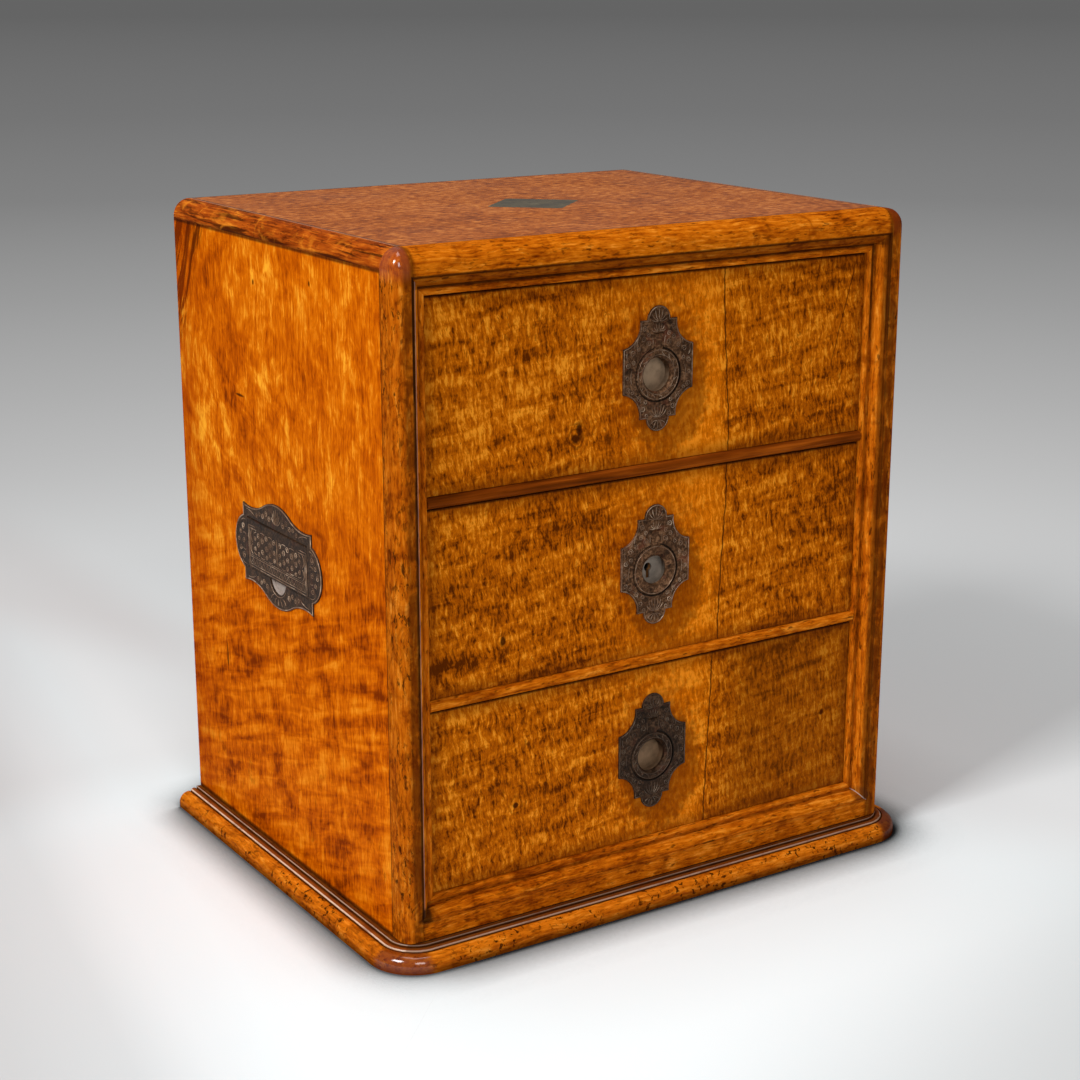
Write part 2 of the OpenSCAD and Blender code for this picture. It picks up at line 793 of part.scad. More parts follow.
// Moves a pull part to the middle of drawer face i
module on_drawer(i) {
    from_front() translate([0, drawer_setback, pull_z(i)]) children();
}

// Space swept by the hinge of a ring, through the plate and into the wood
module hinge_pocket(v1) {
    w = stem_w / 2 + ring_gap;
    low = ring_axis_z - knuckle_r - ring_gap;
    slab_y(-plate_proud - cut, v1) translate([-w, low])
        square([2 * w, 2 * (knuckle_r + ring_gap)]);
}

module drawer_front(i) {
    difference() {
        in_bay(i) translate([-drawer_w / 2, 0, 0]) cube([drawer_w, front_t, front_h]);
        in_bay(i) for (side = [0, 1]) mirror([side, 0, 0])
            slab_x(-drawer_w / 2 - cut, -drawer_in_x) front_tail_set(cut);
        in_bay(i) translate([-drawer_in_x, front_t - groove_d, bottom_rise])
            cube([2 * drawer_in_x, groove_d + cut, drawer_bottom_t]);
        on_drawer(i) {
            slab_y(-cut, pull_t - plate_proud) pull_outline();
            slab_y(0, dish_floor + dish_wall + recess_gap) translate([0, -ring_drop])
                circle(dish_d / 2 + dish_wall + recess_gap);
            hinge_pocket(knuckle_depth + knuckle_r + ring_gap);
        }
    }
}

// Cuts for the lock in the back of the middle drawer front
module lock_recess() {
    in_bay(1) translate([-lock_w / 2, lock_front, key_z - lock_foot])
        cube([lock_w, lock_t + cut, front_h - key_z + lock_foot + cut]);
    on_drawer(1) slab_y(0, lock_front + cut) translate([0, -ring_drop]) keyhole_outline();
}

module pull_plate(i) {
    on_drawer(i) difference() {
        union() {
            slab_y(-plate_proud, pull_t - plate_proud) pull_outline();
            slab_y(0, dish_floor + dish_wall) translate([0, -ring_drop])
                circle(dish_d / 2 + dish_wall);
        }
        slab_y(-plate_proud - cut, seat_depth - plate_proud) translate([0, -ring_drop])
            circle(seat_r);
        slab_y(-plate_proud - cut, seat_depth - plate_proud)
            translate([-stem_w / 2 - ring_gap, -ring_drop])
                square([stem_w + 2 * ring_gap, ring_arm]);
        slab_y(0, dish_floor) translate([0, -ring_drop]) circle(dish_d / 2);
        hinge_pocket(pull_t);
        translate([0, knuckle_depth, ring_axis_z]) rotate([0, 90, 0])
            cylinder(h = ring_pin_l + 2 * fixed_pin_gap, d = ring_pin_d + 2 * fixed_pin_gap, center = true);
    }
}

module pull_ring(i) {
    hole_r = ring_hole(i) / 2;
    on_drawer(i) difference() {
        union() {
            translate([0, -plate_proud, -ring_drop]) rotate([-90, 0, 0]) rotate_extrude()
                polygon([
                    [hole_r, ring_t], [hole_r, ring_bevel],
                    [hole_r + ring_bevel, 0], [ring_od / 2 - ring_rim_bevel, 0],
                    [ring_od / 2, ring_rim_bevel], [ring_od / 2, ring_t]
                ]);
            slab_y(-plate_proud, ring_t - plate_proud)
                translate([-stem_w / 2, hole_r + ring_bevel + land - ring_drop])
                    square([stem_w, ring_arm - hole_r - ring_bevel - land]);
            translate([0, knuckle_depth, ring_axis_z]) rotate([0, 90, 0])
                cylinder(h = stem_w, r = knuckle_r, center = true);
        }
        translate([0, knuckle_depth, ring_axis_z]) rotate([0, 90, 0])
            cylinder(h = stem_w + 2 * cut, d = ring_pin_d + 2 * running_pin_gap, center = true);
    }
}

module pull_pin(i) {
    on_drawer(i) translate([0, knuckle_depth, ring_axis_z]) rotate([0, 90, 0])
        cylinder(h = ring_pin_l, d = ring_pin_d, center = true);
}

module upper_drawer_front() {
    color(wood_gold) drawer_front(2);
}

module upper_drawer_left_side() {
    color(wood_pale) drawer_side(2);
}

module upper_drawer_right_side() {
    color(wood_pale) mirror([1, 0, 0]) drawer_side(2);
}

module upper_drawer_back() {
    color(wood_pale) drawer_back(2);
}

module upper_drawer_bottom() {
    color(wood_pale) drawer_bottom(2);
}

module middle_drawer_front() {
    color(wood_gold) difference() {
        drawer_front(1);
        lock_recess();
    }
}

module middle_drawer_left_side() {
    color(wood_pale) drawer_side(1);
}

module middle_drawer_right_side() {
    color(wood_pale) mirror([1, 0, 0]) drawer_side(1);
}

module middle_drawer_back() {
    color(wood_pale) drawer_back(1);
}

module middle_drawer_bottom() {
    color(wood_pale) drawer_bottom(1);
}

module lower_drawer_front() {
    color(wood_gold) drawer_front(0);
}

module lower_drawer_left_side() {
    color(wood_pale) drawer_side(0);
}

module lower_drawer_right_side() {
    color(wood_pale) mirror([1, 0, 0]) drawer_side(0);
}

module lower_drawer_back() {
    color(wood_pale) drawer_back(0);
}

module lower_drawer_bottom() {
    color(wood_pale) drawer_bottom(0);
}

module upper_pull_plate() {
    color(bronze) pull_plate(2);
}

module upper_pull_ring() {
    color(bronze) pull_ring(2);
}

module upper_pull_pin() {
    color(steel) pull_pin(2);
}

module middle_pull_plate() {
    color(bronze) difference() {
        pull_plate(1);
        on_drawer(1) slab_y(dish_floor - cut, dish_floor + dish_wall + cut)
            translate([0, -ring_drop]) keyhole_outline();
    }
}

module middle_pull_ring() {
    color(bronze) pull_ring(1);
}

module middle_pull_pin() {
    color(steel) pull_pin(1);
}

module lower_pull_plate() {
    color(bronze) pull_plate(0);
}

module lower_pull_ring() {
    color(bronze) pull_ring(0);
}

module lower_pull_pin() {
    color(steel) pull_pin(0);
}

module handle_plate() {
    seat_t = plate_back - flap_t + plate_proud - flap_gap;
    on_left() difference() {
        union() {
            difference() {
                slab_x(-plate_proud, plate_back) handle_outline();
                slab_x(-plate_proud - cut, plate_back + cut) flap_opening();
            }
            difference() {
                slab_x(plate_back, plate_back + well_depth + well_wall) well_plan(well_wall);
                slab_x(plate_back - cut, plate_back + well_depth) well_plan(0);
            }
            for (sy = [0, 1]) mirror([0, sy, 0])
                translate([plate_back - seat_t, flap_l / 2 - flap_seat, flap_low - flap_gap])
                    cube([seat_t, flap_seat + flap_gap, flap_seat]);
            translate([plate_back, -notch_w / 2 - well_edge_room, well_low - well_wall / 2])
                cube([
                    notch_floor_t, notch_w + 2 * well_edge_room,
                    flap_low + notch_reach - well_low + well_wall / 2
                ]);
        }
        translate([flap_axis_t, 0, flap_axis_z]) rotate([90, 0, 0])
            cylinder(h = flap_l + 2 * (flap_gap + flap_pin_end), d = flap_pin_d + 2 * fixed_pin_gap,
                center = true);
    }
}

module handle_flap() {
    on_left() difference() {
        union() {
            slab_x(-plate_proud, flap_t - plate_proud) translate([-flap_l / 2, flap_low])
                square([flap_l, flap_axis_z - flap_low]);
            translate([flap_axis_t, 0, flap_axis_z]) rotate([90, 0, 0])
                cylinder(h = flap_l, r = flap_knuckle_r, center = true);
        }
        translate([flap_axis_t, 0, flap_axis_z]) rotate([90, 0, 0])
            cylinder(h = flap_l + 2 * cut, d = flap_pin_d + 2 * running_pin_gap, center = true);
    }
}

module handle_pin() {
    on_left() translate([flap_axis_t, 0, flap_axis_z]) rotate([90, 0, 0])
        cylinder(h = flap_l + 2 * flap_pin_end, d = flap_pin_d, center = true);
}

module left_handle_plate() {
    color(bronze) handle_plate();
}

module left_handle_flap() {
    color(bronze) handle_flap();
}

module left_handle_pin() {
    color(steel) handle_pin();
}

module right_handle_plate() {
    color(bronze) mirror([1, 0, 0]) handle_plate();
}

module right_handle_flap() {
    color(bronze) mirror([1, 0, 0]) handle_flap();
}

module right_handle_pin() {
    color(steel) mirror([1, 0, 0]) handle_pin();
}

// Back plate, rim and top plate of the lock, open towards the front
module lock_case() {
    low = key_z - lock_foot;
    color(steel) in_bay(1) difference() {
        translate([-lock_w / 2, lock_front + lock_plate_t, low])
            cube([lock_w, lock_t - lock_plate_t, front_h - low]);
        translate([lock_plate_t - lock_w / 2, lock_front, low + lock_plate_t])
            cube([lock_w - 2 * lock_plate_t, lock_t - lock_plate_t, front_h - low - 2 * lock_plate_t]);
        translate([-bolt_head_w / 2 - bolt_gap, bolt_front - bolt_gap, front_h - lock_plate_t - cut])
            cube([bolt_head_w + 2 * bolt_gap, bolt_rear - bolt_front + 2 * bolt_gap, lock_plate_t + 2 * cut]);
    }
}

module lock_cap() {
    low = key_z - lock_foot;
    color(steel) difference() {
        in_bay(1) translate([-lock_w / 2, lock_front, low])
            cube([lock_w, lock_plate_t, front_h - low]);
        on_drawer(1) slab_y(lock_front - cut, lock_front + lock_plate_t + cut)
            translate([0, -ring_drop]) keyhole_outline();
    }
}

// Bolt with a head, a wide body and a notched tail that the key lifts
module lock_bolt() {
    tail_end = key_z + keyhole_d / 2 + bolt_gap;
    color(bronze) in_bay(1) slab_y(bolt_front, bolt_rear) {
        translate([-bolt_head_w / 2, bolt_body_top - bolt_body_h])
            square([bolt_head_w, bolt_top - bolt_body_top + bolt_body_h]);
        translate([-bolt_body_w / 2, bolt_body_top - bolt_body_h])
            square([bolt_body_w, bolt_body_h]);
        difference() {
            translate([-bolt_tail_w / 2, tail_end])
                square([bolt_tail_w, bolt_body_top - bolt_body_h - tail_end]);
            translate([-bolt_notch / 2, tail_end - cut]) square([bolt_notch, bolt_notch + cut]);
        }
    }
}

module lock_key_post() {
    color(steel) in_bay(1) translate([0, front_t - lock_plate_t, key_z]) rotate([90, 0, 0])
        cylinder(h = lock_t - 2 * lock_plate_t, d = key_post_d);
}

base_plinth();
bottom_board();
left_side_board();
right_side_board();
back_panel();
top_board();
top_left_edging();
top_right_edging();
top_plaque();
left_corner_post();
right_corner_post();
top_front_rail();
bottom_front_rail();
top_frame_moulding();
bottom_frame_moulding();
left_frame_moulding();
right_frame_moulding();
upper_divider();
lower_divider();
upper_dustboard();
lower_dustboard();
drawer_guides();
drawer_runners();
drawer_kickers();
drawer_stops();
upper_drawer_front();
upper_drawer_left_side();
upper_drawer_right_side();
upper_drawer_back();
upper_drawer_bottom();
middle_drawer_front();
middle_drawer_left_side();
middle_drawer_right_side();
middle_drawer_back();
middle_drawer_bottom();
lower_drawer_front();
lower_drawer_left_side();
lower_drawer_right_side();
lower_drawer_back();
lower_drawer_bottom();
upper_pull_plate();
upper_pull_ring();
upper_pull_pin();
middle_pull_plate();
middle_pull_ring();
middle_pull_pin();
lower_pull_plate();
lower_pull_ring();
lower_pull_pin();
left_handle_plate();
left_handle_flap();
left_handle_pin();
right_handle_plate();
right_handle_flap();
right_handle_pin();
lock_case();
lock_cap();
lock_bolt();
lock_key_post();
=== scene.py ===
import math

import bmesh
import bpy
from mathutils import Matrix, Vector


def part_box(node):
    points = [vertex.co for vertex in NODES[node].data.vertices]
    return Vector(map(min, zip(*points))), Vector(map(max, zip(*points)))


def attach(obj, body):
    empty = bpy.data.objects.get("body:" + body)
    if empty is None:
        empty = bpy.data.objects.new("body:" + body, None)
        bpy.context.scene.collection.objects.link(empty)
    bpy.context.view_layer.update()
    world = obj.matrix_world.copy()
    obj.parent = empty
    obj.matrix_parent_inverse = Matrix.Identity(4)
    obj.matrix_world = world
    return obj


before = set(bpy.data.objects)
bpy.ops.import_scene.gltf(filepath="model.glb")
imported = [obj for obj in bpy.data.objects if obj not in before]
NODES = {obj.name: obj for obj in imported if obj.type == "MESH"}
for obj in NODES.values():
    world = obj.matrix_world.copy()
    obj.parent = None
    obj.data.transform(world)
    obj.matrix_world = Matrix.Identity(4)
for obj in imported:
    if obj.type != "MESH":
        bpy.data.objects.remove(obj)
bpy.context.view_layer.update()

MM = 0.001
DRAWERS = ("upper", "middle", "lower")

# Planes of the case, read from the frame
SIDE_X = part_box("left_side_board")[0].x
SIDE_FRONT_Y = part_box("left_side_board")[0].y
SIDE_TOP_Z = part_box("left_side_board")[1].z
PLINTH_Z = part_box("base_plinth")[1].z
FACE_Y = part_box("upper_drawer_front")[0].y
FRONT_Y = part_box("left_corner_post")[0].y
OPEN_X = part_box("top_frame_moulding")[1].x
OPEN_LOW_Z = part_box("bottom_frame_moulding")[0].z
OPEN_HIGH_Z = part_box("top_frame_moulding")[1].z
PLATE_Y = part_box("upper_pull_plate")[0].y
HANDLE_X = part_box("left_handle_plate")[0].x


def middle(node):
    low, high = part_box(node)
    return (low + high) / 2


def srgb(red, green, blue):
    """A colour given in 0 to 255 steps, as the linear colour a shader takes."""
    def linear(step):
        share = step / 255
        return share / 12.92 if share <= 0.04045 else ((share + 0.055) / 1.055) ** 2.4
    return (linear(red), linear(green), linear(blue), 1.0)


def shaded(colour, shade):
    return tuple(step * shade for step in colour)


def ramp_stops(*rows):
    """Stops of a ramp, each from a position and a colour in 0 to 255 steps."""
    return [(position, srgb(*colour)) for position, *colour in rows]


class Tree:
    """The node tree of one material, with a short call for each kind of node."""

    def __init__(self, name):
        self.material = bpy.data.materials.new(name)
        self.material.use_nodes = True
        self.tree = self.material.node_tree
        self.tree.nodes.clear()
        self.place = self.add("TexCoord").outputs["Object"]
        self.x, self.y, self.z = self.add("SeparateXYZ", self.place).outputs
        self.colour = None

    def put(self, socket, value):
        if isinstance(value, bpy.types.NodeSocket):
            self.tree.links.new(value, socket)
        elif value is not None:
            socket.default_value = value

    def add(self, kind, *values, **settings):
        node = self.tree.nodes.new("ShaderNode" + kind)
        for key, value in settings.items():
            setattr(node, key, value)
        for socket, value in zip(node.inputs, values):
            self.put(socket, value)
        return node

    def math(self, operation, *values):
        return self.add("Math", *values, operation=operation).outputs[0]

    def fold(self, operation, values):
        """Joins values by one operation, from the left."""
        result = values[0]
        for value in values[1:]:
            result = self.math(operation, result, value)
        return result

    def times(self, *values):
        return self.fold("MULTIPLY", values)

    def larger(self, *values):
        return self.fold("MAXIMUM", values)

    def smaller(self, *values):
        return self.fold("MINIMUM", values)

    def minus(self, first, second):
        return self.math("SUBTRACT", first, second)

    def linear(self, value, slope, start):
        """The value times a slope, plus a start."""
        return self.math("MULTIPLY_ADD", value, slope, start)

    def size(self, value):
        """The value without its sign."""
        return self.math("ABSOLUTE", value)

    def vector(self, operation, *values):
        return self.add("VectorMath", *values, operation=operation).outputs[0]

    def turned(self, axis, degrees):
        """The place, turned about an axis, for grain that leans."""
        node = self.add("VectorRotate", self.place, rotation_type=axis + "_AXIS")
        node.inputs["Angle"].default_value = math.radians(degrees)
        return node.outputs[0]

    def step(self, value, low, high):
        """Rises smoothly from 0 at low to 1 at high, also where low is the larger."""
        node = self.add("MapRange", value, low, high, 0.0, 1.0, interpolation_type="SMOOTHSTEP")
        return node.outputs[0]

    def near(self, value, centre, half, soft):
        """1 within half of a centre, fading to 0 over soft."""
        away = self.size(self.minus(value, centre))
        return self.step(away, half + soft, half)

    def noise_node(self, scale, shift, place, detail, roughness=0.5, distortion=0.0):
        if not isinstance(scale, tuple):
            scale = (scale,) * 3
        scaled = self.vector("MULTIPLY_ADD", place or self.place, scale, (shift,) * 3)
        node = self.add("TexNoise")
        self.put(node.inputs["Vector"], scaled)
        node.inputs["Scale"].default_value = 1.0
        node.inputs["Detail"].default_value = detail
        node.inputs["Roughness"].default_value = roughness
        node.inputs["Distortion"].default_value = distortion
        return node

    def noise(self, scale, detail=2.0, roughness=0.5, distortion=0.0, shift=0.0, place=None):
        """Noise in cycles per metre, one scale for all axes or one each for X, Y and Z."""
        return self.noise_node(scale, shift, place, detail, roughness, distortion).outputs[0]

    def warped(self, place, scale, amount, shift=0.0):
        """The place, pushed about by slow noise, for grain that wavers."""
        node = self.noise_node(scale, shift, None, 2.0)
        pushed = self.vector("SUBTRACT", node.outputs["Color"], (0.5, 0.5, 0.5))
        return self.vector("MULTIPLY_ADD", pushed, (amount,) * 3, place or self.place)

    def total(self, start, *parts):
        """Start plus each (noise, amount), with every noise taken about its middle."""
        value = start - sum(amount for _, amount in parts) / 2
        for part, amount in parts:
            value = self.linear(part, amount, value)
        return value

    def mix(self, share, first, second, blend="MIX"):
        node = self.add("Mix", data_type="RGBA", blend_type=blend)
        self.put(node.inputs[0], share)
        self.put(node.inputs[6], first)
        self.put(node.inputs[7], second)
        return node.outputs[2]

    def ramp(self, value, *stops):
        node = self.add("ValToRGB", value)
        elements = node.color_ramp.elements
        while len(elements) < len(stops):
            elements.new(0.5)
        for element, (position, colour) in zip(elements, stops):
            element.position = position
            element.color = colour
        return node.outputs[0]

    def tones(self, value, dark, plain, pale):
        """A ramp between three colours given in 0 to 255 steps."""
        return self.ramp(value, (0.2, srgb(*dark)), (0.5, srgb(*plain)), (0.8, srgb(*pale)))

    def away(self, plane, centre, radii):
        """Distance from a centre on a plane such as XZ, 1 on an oval round it."""
        axes = {"X": self.x, "Y": self.y, "Z": self.z}
        parts = []
        for axis, middle_at, radius in zip(plane, centre, radii):
            offset = self.minus(axes[axis], middle_at * MM)
            parts.append(self.math("POWER", self.math("DIVIDE", offset, radius * MM), 2.0))
        return self.math("SQRT", self.math("ADD", *parts))

    def spot(self, plane, centre, radii, ragged=0.25, soft=0.4):
        """1 in an oval on a plane, with a ragged and soft edge."""
        away = self.away(plane, centre, radii)
        rough = self.noise(260, 2)
        return self.step(self.total(0.0, (away, 1.0), (rough, ragged * 3)), 0.5 + soft, 0.5 - soft)

    def stain(self, mask, amount, tint):
        """Shifts the colour towards a tint where a mask is up."""
        self.colour = self.mix(self.times(mask, amount), self.colour, srgb(*tint))

    def surface(self, roughness, height=None, depth=0.1, **sockets):
        shader = self.add("BsdfPrincipled")
        self.put(shader.inputs["Base Color"], self.colour)
        self.put(shader.inputs["Roughness"], roughness)
        for name, value in sockets.items():
            self.put(shader.inputs[name.replace("_", " ")], value)
        if height is not None:
            bump = self.add("Bump")
            bump.inputs["Strength"].default_value = 1.0
            bump.inputs["Distance"].default_value = depth * MM
            self.put(bump.inputs["Height"], height)
            self.put(shader.inputs["Normal"], bump.outputs[0])
        output = self.add("OutputMaterial")
        self.tree.links.new(shader.outputs[0], output.inputs["Surface"])
        return self.material


# Woods

VENEER_T = 1.2 * MM
POLISH = {
    "Specular IOR Level": 0.0,
    "Coat Weight": 0.03,
    "Coat Roughness": 0.12,
}
TOP_POLISH = {
    "Specular IOR Level": 0.05,
    "Specular Tint": (1.0, 0.52, 0.12, 1.0),
    "Coat Weight": 0.025,
    "Coat Roughness": 0.12,
}


def grain(along, across, lengthways):
    """Noise scale for fibres that run along one axis."""
    return tuple(lengthways if axis == along else across for axis in "XYZ")


def figured(tree, along, stops, seed, place=None, stroke=1.3, ripple=0.3, reach=(22, 125), fleck=0.7,
            tint=(84, 34, 0), fibres=(560, 95), hook=0.0, cloudy=0.55, mottled=0.0, lift=None):
    """Colour and height of a figured veneer: wavy fibres, ripples across them and dark flecks."""
    wavy = tree.warped(place, 26, 5.0 * MM, seed)
    if hook:
        wavy = tree.warped(wavy, 150, hook * MM, seed + 1.0)
    fibre = tree.noise(grain(along, *fibres), 3, 0.68, 0.0, seed, wavy)
    line = tree.noise(grain(along, 900, 14), 2, 0.6, 0.0, seed + 5.0, wavy)
    wave = tree.noise(grain(along, *reach), 3, 0.6, 0.6, seed + 4.0, wavy)
    cloud = tree.noise(14, 3, 0.6, 0.4, seed + 3.0)
    tone = tree.total(0.5, (fibre, stroke), (line, 0.5), (wave, ripple * 2.4), (cloud, cloudy))
    if mottled:
        mottle = tree.noise((75, 75, 62), 4, 0.6, 1.2, seed + 7.0)
        tone = tree.total(0.5, (tone, 1.0), (mottle, mottled))
    if lift is not None:
        tone = tree.math("ADD", tone, lift)
    colour = tree.ramp(tone, *stops)
    hair = tree.noise(grain(along, 760, 190), 2, 0.55, 0.0, seed + 11.0, wavy)
    dark = tree.step(tree.total(0.5, (hair, 1.0), (wave, -0.35), (cloud, -0.35)), 0.58, 0.70)
    colour = tree.mix(tree.times(dark, fleck), colour, srgb(*tint))
    return colour, tree.total(0.5, (fibre, 0.8), (dark, -0.5))


def inner_wood(tree, along, shift=0.0):
    """Plain straight-grained wood of the parts that the case hides."""
    streak = tree.noise(grain(along, 210, 5), 4, 0.6, 0.3, shift)
    ring = tree.noise(grain(along, 55, 1.5), 2, 0.5, 0.4, shift + 5.0)
    pore = tree.noise(grain(along, 1300, 60), 2, 0.5, 0.0, shift)
    tone = tree.total(0.5, (streak, 0.8), (ring, 0.9), (pore, 0.4))
    colour = tree.tones(tone, (96, 58, 30), (150, 100, 58), (186, 138, 88))
    return colour, tree.total(0.5, (streak, 0.6), (pore, 0.6))


def inner_material(name, along):
    tree = Tree(name)
    tree.colour, height = inner_wood(tree, along)
    worn = tree.noise(30, 3)
    return tree.surface(tree.total(0.62, (worn, 0.2)), height, 0.12, Specular_IOR_Level=0.12)


def veneered(tree, deep, along, shift=0.0):
    """Veneer as deep as its thickness, and plain wood behind it."""
    inner, _ = inner_wood(tree, along, shift)
    tree.colour = tree.mix(tree.step(deep, VENEER_T, VENEER_T + 0.2 * MM), tree.colour, inner)


def polished(tree, height, roughness, depth=0.05, polish=POLISH):
    """Finishes a wood with a polish whose gloss varies a little."""
    sheen = tree.noise(22, 3)
    return tree.surface(tree.total(roughness, (sheen, 0.2)), height, depth, **polish)


SIDE_STOPS = ramp_stops((0.10, 118, 42, 0), (0.38, 184, 81, 0), (0.60, 214, 108, 4), (0.88, 252, 168, 42))
DRAWER_STOPS = ramp_stops((0.16, 92, 38, 0), (0.40, 166, 80, 2), (0.60, 200, 104, 6), (0.84, 242, 150, 34))
TOP_STOPS = ramp_stops((0.14, 120, 54, 12), (0.40, 160, 80, 22), (0.60, 182, 98, 34), (0.86, 212, 130, 60))
FRAME_STOPS = ramp_stops((0.14, 112, 44, 2), (0.40, 178, 86, 6), (0.60, 206, 110, 14), (0.86, 238, 150, 46))
EDGING_STOPS = ramp_stops((0.14, 84, 28, 0), (0.40, 142, 58, 6), (0.60, 176, 82, 14), (0.86, 220, 130, 32))

JOINT_DARK = (46, 18, 6)
SIDE_MARKS = (
    ((27, 344.7), (1.0, 1.4)),
    ((-41.6, 352.4), (1.0, 1.4)),
    ((50, 277.5), (5.0, 0.8)),
    ((82, 113), (1.0, 9.0)),
)


def side_figure(tree):
    """Colour and height of the side veneer, with flames above and ripples below."""
    wavy = tree.warped(None, 22, 7.0 * MM, 2.0)
    curly = tree.warped(wavy, 95, 3.5 * MM, 5.0)
    fine = tree.noise(grain("Z", 560, 75), 3, 0.66, 0.0, 2.0, curly)
    pore = tree.noise(grain("Z", 900, 150), 2, 0.6, 0.0, 8.0)
    line = tree.noise(grain("Z", 260, 6), 3, 0.6, 0.0, 6.0, wavy)
    cloud = tree.noise((22, 22, 20), 4, 0.6, 0.8, 5.0)
    mottle = tree.noise((80, 80, 62), 4, 0.62, 1.0, 3.0, curly)
    ripple = tree.noise((24, 20, 125), 3, 0.55, 0.5, 7.0, tree.turned("X", 17))
    flame = tree.noise((26, 20, 66), 4, 0.6, 0.9, 5.0, tree.turned("X", -32))
    lower = tree.step(tree.z, 0.24, 0.15)
    ripple = tree.times(tree.minus(ripple, 0.5), lower)
    flame = tree.times(tree.minus(flame, 0.5), tree.spot("YZ", (45, 250), (80, 52), 0.2, 0.5))
    tone = tree.total(0.5, (fine, 0.8), (pore, 0.4), (line, 0.3), (cloud, 0.9), (mottle, 0.85))
    tone = tree.linear(ripple, 1.2, tree.linear(flame, 1.1, tone))
    tone = tree.linear(lower, -0.05, tone)
    pale = tree.times(tree.larger(tree.minus(tone, 0.62), 0.0), lower)
    tone = tree.linear(pale, -0.55, tone)
    return tree.ramp(tone, *SIDE_STOPS), tree.total(0.5, (fine, 0.8), (pore, 0.4))


def side_wear(tree):
    """Wisps near the foot, the dark streaks at the upper rear, marks and a redder rear edge."""
    wisp = tree.step(tree.noise((70, 70, 48), 4, 0.65, 1.6, 3.0), 0.56, 0.70)
    wisp = tree.times(wisp, tree.step(tree.z, 0.15, 0.04))
    tree.stain(wisp, 0.55, (112, 42, 0))
    past = tree.minus(tree.y, tree.linear(tree.z, -0.49, 0.272))
    streak = tree.noise(grain("Z", 190, 22), 4, 0.6, 1.0, 2.0, tree.turned("X", -26))
    streak = tree.times(
        tree.step(past, -0.004, 0.006), tree.step(tree.z, 0.285, 0.315), tree.step(streak, 0.41, 0.55),
    )
    tree.stain(streak, 0.92, (78, 26, 0))
    for centre, radii in SIDE_MARKS:
        tree.stain(tree.spot("YZ", centre, radii, 0.3), 0.85, (60, 20, 2))
    tree.stain(tree.step(tree.y, 0.095, 0.131), 0.35, (150, 50, 0))


def side_material(name, outer_x):
    """Side board: veneer outside, plain wood inside, dark joints."""
    tree = Tree(name)
    tree.colour, height = side_figure(tree)
    side_wear(tree)
    joint = tree.larger(
        tree.near(tree.y, SIDE_FRONT_Y, 0.5 * MM, 0.6 * MM),
        tree.near(tree.z, SIDE_TOP_Z, 0.8 * MM, 1.4 * MM),
        tree.near(tree.z, PLINTH_Z, 0.6 * MM, 2.0 * MM),
    )
    tree.stain(joint, 0.8, JOINT_DARK)
    veneered(tree, tree.size(tree.minus(tree.x, outer_x)), "Z")
    return polished(tree, height, 0.36)


# Each drawer's seam at the top and at the foot, knots and how its wood differs; on the lower drawer the
# darkening right of the seam is partly painted shade
DRAWER_LOOKS = {
    "upper": {
        "seed": 0.0, "seam": (44.0, 49.2), "shade": 0.05, "split": 0.28,
        "marks": (((-52.5, 271.5), (2.8, 2.6)), ((-50.5, 276), (1.6, 3.4))),
    },
    "middle": {
        "seed": 5.0, "seam": (48.7, 44.7), "shade": 0.05, "dull": 0.045,
        "marks": (((-98.4, 166.9), (1.6, 2.6)),),
    },
    "lower": {
        "seed": 10.0, "seam": (41.4, 37.6), "shade": 0.45,
        "marks": (((-90.6, 72), (1.6, 1.6)), ((124.5, 82.4), (1.4, 1.4))),
    },
}


def pull_grime_and_shadow(tree, pull_z):
    """Grime round a pull plate, and a painted shadow of the plate, a duller oval to its lower right."""
    halo = tree.spot("XZ", (0, pull_z / MM), (29, 41), 0.6)
    tree.stain(halo, 0.5, (116, 38, 0))
    # Painted shadow of the plate, an oval offset to its lower right.
    plate_shadow = tree.spot("XZ", (8, pull_z / MM - 13), (26, 34), 0.15, 0.12)
    tree.stain(plate_shadow, 0.55, (120, 56, 2))


def knots(tree, marks):
    """Dark knots with rings of grain round them."""
    for centre, radii in marks:
        tree.stain(tree.spot("XZ", centre, radii, 0.5), 0.9, (48, 19, 2))
        away = tree.away("XZ", centre, (1.0, 1.25))
        ring = tree.math("SINE", tree.total(0.0, (away, 2.1), (tree.noise(150, 2), 9.0)))
        ring = tree.times(tree.step(ring, 0.1, 0.8), tree.step(away, 4.0 * radii[0], radii[0]))
        tree.stain(ring, 0.6, (80, 30, 0))


def leaning_split(tree, high, wander, slope):
    """Mask of a fine split that leans inwards below the upper right corner of a drawer front."""
    down = tree.minus(high.z, tree.z)
    lean = tree.linear(down, -slope, tree.total(high.x - 5.0 * MM, (wander, 3.0 * MM)))
    line = tree.near(tree.minus(tree.x, lean), 0.0, 0.15 * MM, 0.5 * MM)
    return tree.times(line, tree.near(down, 32.0 * MM, 26.0 * MM, 8.0 * MM))


def drawer_edges(tree, low, high):
    """Darker towards the edges of a drawer front, and a painted shadow along its top under the moulding."""
    edge = tree.smaller(
        tree.minus(tree.z, low.z), tree.minus(high.z, tree.z), tree.minus(high.x, tree.size(tree.x)),
    )
    tree.stain(tree.step(edge, 0.010, 0.0), 0.5, (92, 38, 2))
    # Painted shadow of the frame's moulding along the top of the front.
    line = tree.step(tree.z, high.z - 1.4 * MM, high.z - 0.3 * MM)
    tree.stain(line, 0.8, (30, 11, 2))


